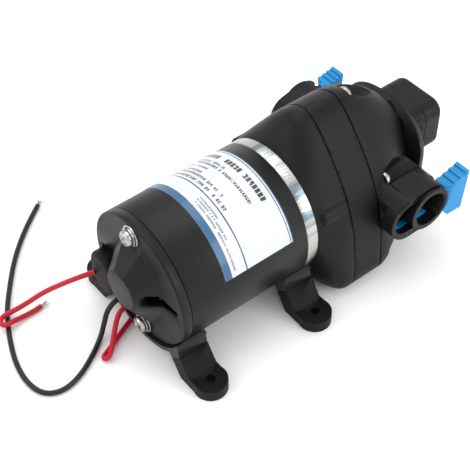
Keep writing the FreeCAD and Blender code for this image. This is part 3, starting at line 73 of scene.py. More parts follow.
LOOP_ROUTE = [
    (-0.0415, 0.0108, 0.0156), (-0.0465, 0.0110, 0.0152), (-0.0510, 0.0096, 0.0126),
    (-0.0556, 0.0059, 0.0086), (-0.0602, 0.0016, 0.0054), (-0.0640, -0.0019, 0.0036),
    (-0.0662, -0.0025, 0.0028), (-0.0674, -0.0007, 0.0020), (-0.0660, 0.0010, 0.0016),
    (-0.0616, 0.0028, 0.0015), (-0.0505, 0.0080, 0.0015), (-0.0400, 0.0126, 0.0015),
    (-0.0240, 0.0182, 0.0015), (-0.0060, 0.0216, 0.0015), (0.0180, 0.0220, 0.0016),
    (0.0350, 0.0206, 0.0034), (0.0446, 0.0200, 0.0054), (0.0503, 0.0200, 0.0055)]

# Bare strands: a strand's radius, its root inside the lead, how far the fan spreads, waves and
# lifts, the share by which the strands' lengths differ, and their least height
STRAND_RADIUS = 0.00020
STRAND_STEPS = 6
STRAND_ROOT = 0.0004
ROOT_SPREAD = 0.00055
TIP_SPREAD = 0.0011
STRAND_WAVE = 0.0002
STRAND_LIFT = 0.00042
LENGTH_SPREAD = 0.14
STRAND_FLOOR = 0.0003

# The motor: its axis, the joint of can and rear cover, and the can with a sunk line at each end
AXIS_Z = 0.044
CAN_REAR_X = -0.0365
CAN_LENGTH = 0.0737
CAN_RADIUS = 0.0375
CAN_BORE_RADIUS = 0.0359
CAN_LINE_RADIUS = 0.0367
REAR_LINE_WIDTH = 0.0004
FRONT_LINE_WIDTH = 0.0003
CAN_EDGE_DROP = 0.0002
CAN_EDGE_WALL = 0.0001
CAN_EDGE_LENGTH = 0.0004
CAN_STEPS = 160

# The label, in millimetres along the can from its rear end and round it from the top
LABEL_RADIUS = 37.7
STRIPE = (21.7, 25.9)
THIN_LINES = ((34.5, 35.3), (62.5, 63.1), (63.75, 64.6))
LINE_COLOUR = (0.030, 0.075, 0.160)
INK_COLOUR = (0.020, 0.021, 0.025)
BLOCK_START = -40.0
NOTE_START = 3.6
# Middle, height, start and end of each row of print, its letters' pitch and its seed
PRINT_ROWS = (
    (58.0, 3.1, BLOCK_START, 21.9, 2.45, 3.0), (53.3, 1.5, BLOCK_START, -4.6, 1.15, 11.0),
    (50.8, 1.8, BLOCK_START, 19.4, 1.45, 23.0), (47.3, 1.5, BLOCK_START, -11.0, 1.2, 37.0),
    (43.7, 1.5, BLOCK_START, -10.8, 1.2, 41.0), (41.0, 1.7, BLOCK_START, 9.3, 1.35, 59.0),
    (37.7, 1.9, BLOCK_START, 16.2, 1.5, 61.0), (31.8, 1.1, NOTE_START, 17.9, 0.9, 73.0),
    (30.1, 1.1, NOTE_START, 29.0, 0.9, 83.0), (28.2, 1.1, NOTE_START, 45.0, 0.9, 97.0))
HEADING_HEIGHT = 3.0
NOTE_HEIGHT = 1.2
LETTER_SHARE = 0.80
SPACE_SHARE = 0.11
LETTER_STROKES = 3.0
LETTER_LEVELS = 3.4

# Screws and washers: the rear cover's pair stands on a circle, a little off the upright
COVER_SCREW_CIRCLE = 0.0305
COVER_SCREW_TILT = math.radians(4.0)
COVER_SEAT_X = CAN_REAR_X - 0.0050
WASHER_THICKNESS = 0.0010
WASHER_EDGE = 0.00025
WASHER_BORE = 0.0021
SPRING_WASHER_RADIUS = 0.0052
SPRING_WASHER_HEIGHT = 0.0011
SHANK_RADIUS = 0.0020
HEAD_SEAT_X = CAN_REAR_X + 0.12675
# Places of the pump head's screws, across the motor's axis and above it
HEAD_SCREWS = ((0.0, 0.048), (0.0333, 0.0131), (-0.0333, 0.0131), (0.0, -0.0365),
               (0.039, -0.0335), (-0.039, -0.0335))
# Outline of a pan head from its seat to its crown, as shares of its height and its radius
PAN_OUTLINE = ((0.0, 0.97), (0.08, 1.0), (0.45, 0.985), (0.72, 0.90), (0.90, 0.74), (0.98, 0.52),
               (1.0, 0.30), (1.0, 0.0))
SQUARE = ((-1, -1), (1, -1), (1, 1), (-1, 1))
BOX_FACES = ((0, 1, 2, 3), (7, 6, 5, 4), (0, 4, 5, 1), (1, 5, 6, 2), (2, 6, 7, 3), (3, 7, 4, 0))

# The camera: where it stands, the turn of its right hand from X, its dip and its roll
CAMERA_PLACE = (-0.2293, -0.3174, 0.4698)
CAMERA_HEADING = math.radians(-38.06)
CAMERA_DIP = math.radians(47.13)
CAMERA_ROLL = math.radians(0.65)

# Name, place, aimed point, side and power of each lamp, and the floor's half side and drop
LAMPS = (("TopSoftbox", (0.15, 0.25, 1.1), (0.03, 0.0, 0.03), 0.9, 4.5),
         ("LeftSoftbox", (-0.9, 0.35, 0.6), (0.0, 0.0, 0.04), 0.6, 2.5),
         ("RightFill", (0.5, -0.9, 0.5), (0.04, 0.0, 0.04), 0.7, 4.0))
FLOOR_HALF_SIDE = 6.0
FLOOR_DROP = 0.0002

# Loose CAD vertices nearer than this are joined
MERGE_DISTANCE = 0.000002

# Depth of the finishes' fine relief, the softened edge of bare metal, and a tone's usual range
MOULDED_RELIEF = 0.00006
PAINTED_RELIEF = 0.00005
TURNED_RELIEF = 0.00004
METAL_EDGE = 0.0002
TONE_RANGE = (0.3, 0.7)


# Settings that a user would change

def colour_setting(name, description, default):
    return bpy.props.FloatVectorProperty(name=name, description=description, subtype="COLOR",
                                         size=3, min=0, max=1, default=default)


def length_setting(name, description, default, least=0.001):
    return bpy.props.FloatProperty(name=name, description=description, subtype="DISTANCE",
                                   unit="LENGTH", min=least, default=default)


class PumpFinish(bpy.types.PropertyGroup):
    plastic: colour_setting("Moulding", "Colour of the black mouldings", (0.0052, 0.0052, 0.0056))
    paint: colour_setting("Can paint", "Colour of the painted motor can", (0.0048, 0.0048, 0.0054))
    rubber: colour_setting("Rubber", "Colour of the feet and the boot", (0.0045, 0.0045, 0.0050))
    clip: colour_setting("Clip", "Colour of the slide clips", (0.004, 0.225, 0.520))
    red: colour_setting("Red lead", "Colour of the red leads' insulation", (0.430, 0.004, 0.020))
    label: colour_setting("Label", "Ground colour of the label", (0.610, 0.632, 0.685))
    stripe: colour_setting("Label stripe", "Colour of the label's broad stripe",
                           (0.020, 0.098, 0.215))
    edge_radius: length_setting("Moulded edge", "Radius of the mouldings' softened edges",
                                0.0005, 0.0)


class PumpLeads(bpy.types.PropertyGroup):
    diameter: length_setting("Lead diameter", "Diameter of the leads over their insulation", 0.0028)
    strand_count: bpy.props.IntProperty(
        name="Strands", description="Bare strands at the end of a lead", min=1, default=9)
    strand_length: length_setting("Bare length", "Length of the bare strands", 0.0050)


class PumpFixings(bpy.types.PropertyGroup):
    cover_screw_radius: length_setting("Cover screw head", "Radius of the cover's screw heads",
                                       0.0045)
    head_screw_radius: length_setting("Pump head screw head",
                                      "Radius of the pump head's screw heads", 0.0048)
    washer_radius: length_setting("Washer", "Outer radius of the flat washers", 0.0060)


class PumpStage(bpy.types.PropertyGroup):
    focal_length: bpy.props.FloatProperty(
        name="Focal length", description="Lens of the camera, in millimetres", min=10, default=87.0)
    floor_colour: colour_setting("Floor", "Colour of the floor", (0.93, 0.93, 0.93))
    sky: bpy.props.FloatProperty(
        name="Surrounding light", description="Strength of the light from all round", min=0,
        default=1.08)


# Shader nodes

def put_in(tree, node, values):
    """Give each named input of the node a value, or a link from another node's socket."""
    for label, value in values.items():
        socket = node.inputs[label.replace("_", " ")]
        if isinstance(value, bpy.types.NodeSocket):
            tree.links.new(value, socket)
        else:
            socket.default_value = value
    return node


def maths(tree, operation, *values):
    node = tree.nodes.new("ShaderNodeMath")
    node.operation = operation
    for place, value in enumerate(values):
        if isinstance(value, (int, float)):
            node.inputs[place].default_value = value
        else:
            tree.links.new(value, node.inputs[place])
    return node.outputs[0]


def either(tree, masks):
    """A mask that shows wherever one of the masks does."""
    shown = masks[0]
    for mask in masks[1:]:
        shown = maths(tree, "MAXIMUM", shown, mask)
    return shown


def ramp(tree, source, low, high, out_low=0.0, out_high=1.0):
    node = put_in(tree, tree.nodes.new("ShaderNodeMapRange"),
                  {"Value": source, "From Min": low, "From Max": high,
                   "To Min": out_low, "To Max": out_high})
    return node.outputs["Result"]


def noise(tree, dimensions="3D", **values):
    node = tree.nodes.new("ShaderNodeTexNoise")
    node.noise_dimensions = dimensions
    return put_in(tree, node, values).outputs["Fac"]


def white_noise(tree, dimensions, **values):
    node = tree.nodes.new("ShaderNodeTexWhiteNoise")
    node.noise_dimensions = dimensions
    return put_in(tree, node, values).outputs["Value"]


def colour_mix(tree, factor, first, second):
    """Mix of two colours, the first of which may be another mix."""
    node = tree.nodes.new("ShaderNodeMix")
    node.data_type = "RGBA"
    if isinstance(first, tuple):
        first = (*first, 1.0)
    put_in(tree, node, {"Factor": factor, "A": first, "B": (*second, 1.0)})
    return node.outputs["Result"]


def parts_of(tree, vector):
    node = tree.nodes.new("ShaderNodeSeparateXYZ")
    tree.links.new(vector, node.inputs[0])
    return node.outputs


# Shader node groups

def new_group(name, inputs, outputs):
    """A shader group with its named inputs, vectors where they have no value, and its outputs."""
    tree = bpy.data.node_groups.new(name, "ShaderNodeTree")
    for label, value in inputs.items():
        kind = "NodeSocketVector" if value is None else "NodeSocketFloat"
        socket = tree.interface.new_socket(label, in_out="INPUT", socket_type=kind)
        if value is not None:
            socket.default_value = value
    for label in outputs:
        tree.interface.new_socket(label, in_out="OUTPUT", socket_type="NodeSocketFloat")
    entry, leave = tree.nodes.new("NodeGroupInput"), tree.nodes.new("NodeGroupOutput")
    return tree, entry.outputs, leave


def moulded_grain():
    """Fine spark-eroded grain with a slow change of tone, as on a moulding."""
    tree, given, leave = new_group(
        "MouldedGrain", {"Coordinates": None, "Grain Scale": 4200.0, "Tone Scale": 45.0},
        ("Grain", "Tone"))
    grain = noise(tree, Vector=given["Coordinates"], Scale=given["Grain Scale"], Detail=3.0,
                  Roughness=0.6)
    tone = noise(tree, Vector=given["Coordinates"], Scale=given["Tone Scale"], Detail=4.0)
    put_in(tree, leave, {"Grain": grain, "Tone": tone})
    return tree


def turned_lines():
    """Fine lines round the motor's axis, as a lathe leaves them."""
    tree, given, leave = new_group(
        "TurnedLines", {"Coordinates": None, "Line Scale": 5200.0, "Streak Scale": 30.0},
        ("Lines", "Streaks"))
    along = parts_of(tree, given["Coordinates"])["X"]
    lines = noise(tree, "1D", W=along, Scale=given["Line Scale"], Detail=3.0)
    streaks = noise(tree, Vector=given["Coordinates"], Scale=given["Streak Scale"])
    put_in(tree, leave, {"Lines": lines, "Streaks": streaks})
    return tree


def printed_row():
    """One row of generic printed blocks round the can, broken into words, as a mask."""
    tree, given, leave = new_group(
        "PrintedRow",
        {"Along": 0.0, "Round": 0.0, "Centre": 0.0, "Height": 1.5, "Start": -40.0, "End": 20.0,
         "Letter": 1.4, "Seed": 0.0, "Gaps": 0.08},
        ("Ink",))
    off = maths(tree, "ABSOLUTE", maths(tree, "SUBTRACT", given["Along"], given["Centre"]))
    inside = maths(tree, "LESS_THAN", off, maths(tree, "MULTIPLY", given["Height"], 0.5))
    after = maths(tree, "GREATER_THAN", given["Round"], given["Start"])
    before = maths(tree, "LESS_THAN", given["Round"], given["End"])

    count = maths(tree, "DIVIDE", given["Round"], given["Letter"])
    block = maths(tree, "LESS_THAN", maths(tree, "FRACT", count), LETTER_SHARE)
    letter = maths(tree, "ADD", maths(tree, "FLOOR", count), given["Seed"])
    present = maths(tree, "GREATER_THAN", white_noise(tree, "1D", W=letter), SPACE_SHARE)

    stroke = maths(tree, "FLOOR", maths(tree, "MULTIPLY", count, LETTER_STROKES))
    height = maths(tree, "MULTIPLY", given["Along"], LETTER_LEVELS)
    level = maths(tree, "FLOOR", maths(tree, "DIVIDE", height, given["Height"]))
    pair = put_in(tree, tree.nodes.new("ShaderNodeCombineXYZ"),
                  {"X": maths(tree, "ADD", stroke, given["Seed"]), "Y": level})
    chance = white_noise(tree, "2D", Vector=pair.outputs[0])
    broken = maths(tree, "GREATER_THAN", chance, given["Gaps"])

    mask = inside
    for part in (after, before, block, present, broken):
        mask = maths(tree, "MULTIPLY", mask, part)
    put_in(tree, leave, {"Ink": mask})
    return tree


GROUPS = {}
GROUP_MAKERS = {"grain": moulded_grain, "turned": turned_lines, "row": printed_row}


def place_group(tree, name, **values):
    """A node that holds the named group, which is made when it is first needed."""
    if name not in GROUPS:
        GROUPS[name] = GROUP_MAKERS[name]()
    node = tree.nodes.new("ShaderNodeGroup")
    node.node_tree = GROUPS[name]
    return put_in(tree, node, values).outputs


# Materials

MATERIALS = {}


def start_material(name, colour, roughness, metallic=0.0, **sockets):
    material = bpy.data.materials.new(name)
    material.use_nodes = True
    material.diffuse_color = (*colour, 1.0)
    tree = material.node_tree
    shader = tree.nodes["Principled BSDF"]
    put_in(tree, shader, {"Base Color": (*colour, 1.0), "Roughness": roughness,
                          "Metallic": metallic, **sockets})
    place = tree.nodes.new("ShaderNodeTexCoord")
    return material, tree, shader, place.outputs["Object"]


def tone_colour(tree, shader, source, colour, spread):
    """Base colour that drifts round one value with a mask."""
    darker = tuple(c * (1 - spread) for c in colour)
    lighter = tuple(c * (1 + spread) for c in colour)
    tree.links.new(colour_mix(tree, source, darker, lighter), shader.inputs["Base Color"])


def drifting_roughness(tree, shader, source, low, high):
    tree.links.new(ramp(tree, source, *TONE_RANGE, low, high), shader.inputs["Roughness"])


def surface_normal(tree, shader, height, strength, distance, edge=0.0):
    """Fine relief, and softened edges where they have a radius."""
    bump = put_in(tree, tree.nodes.new("ShaderNodeBump"),
                  {"Strength": strength, "Distance": distance, "Height": height})
    if edge:
        bevel = put_in(tree, tree.nodes.new("ShaderNodeBevel"), {"Radius": edge})
        bevel.samples = 6
        tree.links.new(bevel.outputs["Normal"], bump.inputs["Normal"])
    tree.links.new(bump.outputs["Normal"], shader.inputs["Normal"])


def round_motor(tree, place, side):
    """Angle round the motor's axis from the top, positive towards one side of Y."""
    split = parts_of(tree, place)
    across = maths(tree, "MULTIPLY", split["Y"], side)
    up = maths(tree, "SUBTRACT", split["Z"], AXIS_Z)
    return maths(tree, "ARCTAN2", across, up)


def moulding(name, colour, roughness, edge, grain_strength=0.25, grain_scale=3600.0, spread=0.16,
             **sockets):
    material, tree, shader, place = start_material(name, colour, roughness, **sockets)
    grain = place_group(tree, "grain", Coordinates=place, Grain_Scale=grain_scale)
    tone_colour(tree, shader, grain["Tone"], colour, spread)
    drifting_roughness(tree, shader, grain["Tone"], roughness - 0.05, roughness + 0.06)
    surface_normal(tree, shader, grain["Grain"], grain_strength, MOULDED_RELIEF, edge)
    return material


def bare_metal(name, colour, roughness, lines=True, edge=METAL_EDGE):
    material, tree, shader, place = start_material(name, colour, roughness, 1.0)
    turned = place_group(tree, "turned", Coordinates=place)
    tone_colour(tree, shader, turned["Streaks"], colour, 0.08)
    drifting_roughness(tree, shader, turned["Streaks"], roughness - 0.05, roughness + 0.07)
    relief, strength = (turned["Lines"], 0.35) if lines else (turned["Streaks"], 0.1)
    surface_normal(tree, shader, relief, strength, TURNED_RELIEF, edge)
    return material


def turned_band(bright, shade):
    """Turned aluminium with painted reflections: its colour swaps between bright and dark bluish
    grey in broad bands round the motor's axis, standing in for what the metal reflects.
    """
    material, tree, shader, place = start_material("TurnedAluminium", bright, 0.26, 1.0)
    start_angle = 4.0
    angle = maths(tree, "ADD", round_motor(tree, place, 1.0), start_angle)
    # Painted reflection: a slow wave round the axis picks the bright or the dark band of colour
    painted_reflection_bands = noise(tree, "1D", W=angle, Scale=2.3, Detail=2.5, Roughness=0.62)
    shown = colour_mix(tree, ramp(tree, painted_reflection_bands, 0.50, 0.60), bright, shade)
    tree.links.new(shown, shader.inputs["Base Color"])
    turned = place_group(tree, "turned", Coordinates=place)
    drifting_roughness(tree, shader, turned["Streaks"], 0.22, 0.32)
    surface_normal(tree, shader, turned["Lines"], 0.35, TURNED_RELIEF, METAL_EDGE)
    return material


def can_paint(colour, edge):
    material, tree, shader, place = start_material("CanPaint", colour, 0.38,
                                                   Specular_IOR_Level=0.26)
    grain = place_group(tree, "grain", Coordinates=place, Grain_Scale=1500.0, Tone_Scale=28.0)
    tone_colour(tree, shader, grain["Tone"], colour, 0.15)
    drifting_roughness(tree, shader, grain["Tone"], 0.34, 0.42)
    surface_normal(tree, shader, grain["Grain"], 0.12, PAINTED_RELIEF, edge)
    return material


def printed_label(colour, stripe):
    """White film with a broad stripe, thin lines and rows of generic print."""
    material, tree, shader, place = start_material("PrintedLabel", colour, 0.32, Coat_Weight=0.2)
    from_rear = maths(tree, "SUBTRACT", parts_of(tree, place)["X"], CAN_REAR_X)
    along = maths(tree, "MULTIPLY", from_rear, 1000.0)
    turn = maths(tree, "MULTIPLY", round_motor(tree, place, -1.0), LABEL_RADIUS)

    def band(low, high):
        return maths(tree, "MULTIPLY", maths(tree, "GREATER_THAN", along, low),
                     maths(tree, "LESS_THAN", along, high))

    rows = []
    for centre, height, start, end, letter, seed in PRINT_ROWS:
        heading = height > HEADING_HEIGHT
        row = place_group(tree, "row", Along=along, Round=turn, Centre=centre, Height=height,
                          Start=start, End=end, Letter=letter, Seed=seed,
                          Gaps=0.03 if heading else 0.10)
        strength = 0.98 if heading else (0.92 if height > NOTE_HEIGHT else 0.78)
        rows.append(maths(tree, "MULTIPLY", row["Ink"], strength))

    shown = colour_mix(tree, band(*STRIPE), colour, stripe)
    lines = either(tree, [band(*line) for line in THIN_LINES])
    shown = colour_mix(tree, lines, shown, LINE_COLOUR)
    shown = colour_mix(tree, either(tree, rows), shown, INK_COLOUR)
    tree.links.new(shown, shader.inputs["Base Color"])
    grain = place_group(tree, "grain", Coordinates=place, Grain_Scale=700.0)
    drifting_roughness(tree, shader, grain["Tone"], 0.28, 0.38)
    surface_normal(tree, shader, grain["Grain"], 0.05, PAINTED_RELIEF)
    return material


def make_materials(finish):
    edge = finish.edge_radius
    black = tuple(finish.plastic)
    MATERIALS.update({
        "black_plastic": moulding("BlackMoulding", black, 0.44, edge, Specular_IOR_Level=0.18),
        "cover_plastic": moulding("RearCoverMoulding", black, 0.42, edge * 2.8,
                                  Specular_IOR_Level=0.22),
        "switch_plastic": moulding("SwitchMoulding", black, 0.42, edge * 0.25,
                                   Specular_IOR_Level=0.20),
        "black_rubber": moulding("BlackRubber", tuple(finish.rubber), 0.55, edge * 1.4,
                                 grain_strength=0.35, grain_scale=2400.0,
                                 Specular_IOR_Level=0.16),
        "blue_plastic": moulding("BlueMoulding", tuple(finish.clip), 0.38, edge * 0.8,
                                 grain_strength=0.12, spread=0.05, Specular_IOR_Level=0.25),
        "pale_plastic": moulding("PaleMoulding", (0.70, 0.69, 0.64), 0.45, edge),
        "motor_black": can_paint(tuple(finish.paint), edge),
        "saddle_steel": moulding("SaddlePaint", (0.012, 0.012, 0.013), 0.40, edge,
                                 grain_strength=0.15, Specular_IOR_Level=0.3),
        # Bright and dark bluish grey of the front bell's painted reflections
        "bell_aluminium": turned_band((0.520, 0.515, 0.490), (0.200, 0.262, 0.305)),
        "bright_steel": bare_metal("PlatedSteel", (0.43, 0.42, 0.40), 0.24, False, 0.00012),
        "core_steel": bare_metal("CoreSteel", (0.30, 0.30, 0.31), 0.42),
        "magnet_iron": moulding("SinteredMagnet", (0.06, 0.06, 0.06), 0.6, edge),
        "copper_wire": bare_metal("CopperWire", (0.72, 0.36, 0.20), 0.32),
        # Brass darkened nearly to black: painted shade of the slot in the rear cover where the
        # strip shows
        "brass": bare_metal("BrassStrip", (0.030, 0.023, 0.014), 0.60, False),
        "carbon": moulding("CarbonBrush", (0.03, 0.03, 0.03), 0.5, edge * 0.5),
        "label_white": printed_label(tuple(finish.label), tuple(finish.stripe)),
        "lead_black": moulding("BlackInsulation", (0.007, 0.007, 0.007), 0.36, 0.0,
                               grain_strength=0.06, grain_scale=1800.0, Specular_IOR_Level=0.32),
        "lead_red": moulding("RedInsulation", tuple(finish.red), 0.36, 0.0, grain_strength=0.06,
                             grain_scale=1800.0, spread=0.06, Specular_IOR_Level=0.30),
    })


# Making and placing pieces

def new_object(name, data):
    made = bpy.data.objects.new(name, data)
    bpy.context.scene.collection.objects.link(made)
    return made


def add_piece(name, mesh, material, body, replaced=()):
    piece = new_object(name, mesh)
    mesh.materials.clear()
    mesh.materials.append(MATERIALS[material])
    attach(piece, body)
    if replaced:
        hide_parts(*replaced)
    return piece


def smooth(mesh, sharp_angle):
    mesh.shade_smooth()
    mesh.set_sharp_from_angle(angle=math.radians(sharp_angle))
    return mesh


def mesh_from(work, name, sharp_angle=32.0):
    mesh = bpy.data.meshes.new(name)
    work.to_mesh(mesh)
    work.free()
    return smooth(mesh, sharp_angle)


def through_modifiers(piece):
    """The piece's evaluated mesh as plain data, with its modifiers taken off."""
    graph = bpy.context.evaluated_depsgraph_get()
    mesh = bpy.data.meshes.new_from_object(piece.evaluated_get(graph))
    for modifier in list(piece.modifiers):
        piece.modifiers.remove(modifier)
    return mesh


def dressed(node, name, material, body="housing", sharp_angle=32.0, weight=70):
    """A smooth-shaded copy of a CAD node that stands for it, normals led by its larger faces."""
    work = bmesh.new()
    work.from_mesh(NODES[node].data)
    bmesh.ops.remove_doubles(work, verts=work.verts, dist=MERGE_DISTANCE)
    rough = new_object(name, mesh_from(work, name, sharp_angle))
    even = rough.modifiers.new("Even", "WEIGHTED_NORMAL")
    even.mode = "FACE_AREA_WITH_ANGLE"
    even.weight = weight
    even.keep_sharp = True
    mesh = through_modifiers(rough)
    bpy.data.objects.remove(rough)
    mesh.name = name
    return add_piece(name, mesh, material, body, (node,))


def circle(work, x, radius, steps):
    """A ring of vertices round X, or a single one where it has no radius."""
    if radius == 0:
        return [work.verts.new((x, 0.0, 0.0))]
    angles = [2 * math.pi * step / steps for step in range(steps)]
    return [work.verts.new((x, radius * math.cos(a), radius * math.sin(a))) for a in angles]


def revolve(profile, steps, closed=False):
    """Body of revolution about X from (x, radius) pairs: a ring if closed, or else solid."""
    work = bmesh.new()
    rings = [circle(work, x, radius, steps) for x, radius in profile]
    for first, second in zip(rings, rings[1:] + rings[:1] if closed else rings[1:]):
        for step in range(steps):
            after = (step + 1) % steps
            corners = []
            for ring, place in ((first, step), (first, after), (second, after), (second, step)):
                vertex = ring[place if len(ring) > 1 else 0]
                if vertex not in corners:
                    corners.append(vertex)
            work.faces.new(corners)
    bmesh.ops.recalc_face_normals(work, faces=work.faces)
    return work


def skin(work, rings):
    """A closed tube through rings of as many vertices each."""
    sides = len(rings[0])
    for first, second in zip(rings, rings[1:]):
        for step in range(sides):
            after = (step + 1) % sides
            work.faces.new((first[step], first[after], second[after], second[step]))
    work.faces.new(rings[0][::-1])
    work.faces.new(rings[-1])
    bmesh.ops.recalc_face_normals(work, faces=work.faces)


def can_profile():
    """Section of the can, with its sunk line and soft edge at each end."""
    shoulder = CAN_RADIUS - CAN_EDGE_DROP
    rear, front = CAN_REAR_X, CAN_REAR_X + CAN_LENGTH
    rear_wall, front_wall = rear + REAR_LINE_WIDTH, front - FRONT_LINE_WIDTH
    return [(rear, CAN_BORE_RADIUS), (rear, CAN_LINE_RADIUS), (rear_wall, CAN_LINE_RADIUS),
            (rear_wall + CAN_EDGE_WALL, shoulder), (rear_wall + CAN_EDGE_LENGTH, CAN_RADIUS),
            (front_wall - CAN_EDGE_LENGTH, CAN_RADIUS), (front_wall - CAN_EDGE_WALL, shoulder),
            (front_wall, CAN_LINE_RADIUS), (front, CAN_LINE_RADIUS), (front, CAN_BORE_RADIUS)]


def washer_mesh(radius, name):
    """Flat washer about X with soft outer corners, seat at x = 0."""
    start, end, soft = -WASHER_THICKNESS, 0.0, WASHER_EDGE
    cut = soft * 0.3
    profile = [(start, WASHER_BORE), (start, radius - soft), (start + cut, radius - cut),
               (start + soft, radius), (end - soft, radius), (end - cut, radius - cut),
               (end, radius - soft), (end, WASHER_BORE)]
    return mesh_from(revolve(profile, 48, True), name, 50)


def spring_washer_mesh(name):
    """Split ring about X whose two ends stand a little apart, seat at x = 0."""
    outer, inner, height = SPRING_WASHER_RADIUS, WASHER_BORE, SPRING_WASHER_HEIGHT
    soft, rise, steps, flattened, split = 0.0001, -0.00022, 44, 0.8, 12
    section = ((0, inner), (0, outer - soft), (-soft, outer), (-height + soft, outer),
               (-height, outer - soft), (-height, inner))
    work = bmesh.new()
    rings = []
    for step in range(steps + 1):
        share = step / steps
        angle = math.radians(split / 2 + (360 - split) * share)
        rings.append([work.verts.new((x * flattened + rise * share, radius * math.cos(angle),
                                      radius * math.sin(angle))) for x, radius in section])
    skin(work, rings)
    return mesh_from(work, name, 40)


def recess_cutter(height, recess, name):
    """Two crossed wedges, narrow end inwards, that cut a screw head's cross recess."""
    width, depth, above = recess * 0.34, height * 0.85, height * 0.2
    outer_end = (-height - above, recess, width)
    inner_end = (depth - height, recess * 0.35, width * 0.2)
    work = bmesh.new()
    for turned in (False, True):
        corners = []
        for x, half_length, half_width in (outer_end, inner_end):
            for across, along in SQUARE:
                y, z = across * half_width, along * half_length
                corners.append(work.verts.new((x, z, y) if turned else (x, y, z)))
        for face in BOX_FACES:
            work.faces.new([corners[place] for place in face])
    bmesh.ops.recalc_face_normals(work, faces=work.faces)
    return new_object(name, mesh_from(work, name))


def screw_mesh(name, radius, height, shank_length, recess):
    """Pan-head screw with a cross recess, head side towards -X, seat at x = 0."""
    profile = [(shank_length, 0.0), (shank_length, SHANK_RADIUS), (0.0, SHANK_RADIUS)]
    profile += [(-height * up, radius * out) for up, out in PAN_OUTLINE]
    head = new_object(name, mesh_from(revolve(profile, 40), name))
    cutter = recess_cutter(height, recess, name + "Recess")
    cut = head.modifiers.new("Recess", "BOOLEAN")
    cut.operation = "DIFFERENCE"
    cut.object = cutter
    cut.solver = "EXACT"
    cut.use_self = True
    mesh = through_modifiers(head)
    bpy.data.objects.remove(head)
    bpy.data.objects.remove(cutter)
    return smooth(mesh, 35)


def placing_tree(name, material):
    """Instances of one shape on points, turned by the points' own angles, made real."""
    tree = bpy.data.node_groups.new(name, "GeometryNodeTree")
    socket = tree.interface.new_socket
    socket("Geometry", in_out="INPUT", socket_type="NodeSocketGeometry")
    shape_input = socket("Shape", in_out="INPUT", socket_type="NodeSocketObject")
    socket("Geometry", in_out="OUTPUT", socket_type="NodeSocketGeometry")
    make, link = tree.nodes.new, tree.links.new
    entry, leave = make("NodeGroupInput"), make("NodeGroupOutput")
    shape = make("GeometryNodeObjectInfo")
    turn = make("GeometryNodeInputNamedAttribute")
    turn.data_type = "FLOAT_VECTOR"
    turn.inputs["Name"].default_value = "turn"
    rotation = make("FunctionNodeEulerToRotation")
    points = make("GeometryNodeInstanceOnPoints")
    real = make("GeometryNodeRealizeInstances")
    paint = make("GeometryNodeSetMaterial")
    paint.inputs["Material"].default_value = material
    link(entry.outputs["Geometry"], points.inputs["Points"])
    link(entry.outputs["Shape"], shape.inputs["Object"])
    link(shape.outputs["Geometry"], points.inputs["Instance"])
    link(turn.outputs["Attribute"], rotation.inputs["Euler"])
    link(rotation.outputs["Rotation"], points.inputs["Rotation"])
    link(points.outputs["Instances"], real.inputs["Geometry"])
    link(real.outputs["Geometry"], paint.inputs["Geometry"])
    link(paint.outputs["Geometry"], leave.inputs["Geometry"])
    return tree, shape_input.identifier


def add_copies(name, node, shape_mesh, places, turns, material="bright_steel"):
    """One piece with a copy of the shape at each place, turned by its angles."""
    carrier_mesh = bpy.data.meshes.new(name + "Places")
    carrier_mesh.from_pydata(places, [], [])
    turn = carrier_mesh.attributes.new("turn", "FLOAT_VECTOR", "POINT")
    turn.data.foreach_set("vector", [value for angles in turns for value in angles])
    carrier = new_object(name + "Places", carrier_mesh)
    shape = new_object(name + "Shape", shape_mesh)
    tree, shape_input = placing_tree(name + "Tree", MATERIALS[material])
    modifier = carrier.modifiers.new("Copies", "NODES")
    modifier.node_group = tree
    modifier[shape_input] = shape
    bpy.context.view_layer.update()
    mesh = through_modifiers(carrier)
    bpy.data.objects.remove(carrier)
    bpy.data.objects.remove(shape)
    mesh.name = name
    return add_piece(name, mesh, material, "housing", (node,))


def route_curve(name, route):
    """The lead's smooth line, with the route's points as its control points."""
    curve = bpy.data.curves.new(name, "CURVE")
    curve.dimensions = "3D"
    spline = curve.splines.new("NURBS")
    spline.points.add(len(route) - 1)
    for point, place in zip(spline.points, route):
        point.co = (*place, 1.0)
    spline.order_u = 3
    spline.use_endpoint_u = True
    spline.resolution_u = 12
    return curve


def centre_line(route):
    """Points along the route's own spline, as Blender draws it."""
    probe = new_object("Probe", route_curve("Probe", route))
    bpy.context.view_layer.update()
    mesh = bpy.data.meshes.new_from_object(probe)
    line = np.array([tuple(v.co) for v in mesh.vertices])
    bpy.data.objects.remove(probe)
    bpy.data.meshes.remove(mesh)
    return line


def tube_rings(work, spine, radius, sides=6):
    """Rings of vertices square to the spine at each of its points."""
    rings = []
    for place, point in enumerate(spine):
        ahead = spine[min(place + 1, len(spine) - 1)] - spine[max(place - 1, 0)]
        ahead.normalize()
        side = ahead.cross(Vector((0, 0, 1))).normalized()
        top = side.cross(ahead)
        angles = [2 * math.pi * step / sides for step in range(sides)]
        rings.append([work.verts.new(point + radius * (side * math.cos(a) + top * math.sin(a)))
                      for a in angles])
    return rings


def strand_spine(end, along, across, index, count, length):
    """Middle line of one bare strand, which leaves the fan by its own small wave and lift."""
    share = index / max(count - 1, 1) * 2 - 1
    lift = STRAND_LIFT * math.sin(index * 2.4)
    reach = length * (1 - LENGTH_SPREAD + LENGTH_SPREAD * math.cos(index * 1.7))
    spine = []
    for step in range(STRAND_STEPS + 1):
        part = step / STRAND_STEPS
        spread = share * (ROOT_SPREAD + TIP_SPREAD * part * part)
        wave = STRAND_WAVE * math.sin(part * 6 + index)
        point = end + along * (reach * part - STRAND_ROOT) + across * (spread + wave)
        point.z = max(end.z + lift * (1 - 0.4 * part), STRAND_FLOOR)
        spine.append(point)
    return spine


# Operators, one for each piece or group of like pieces

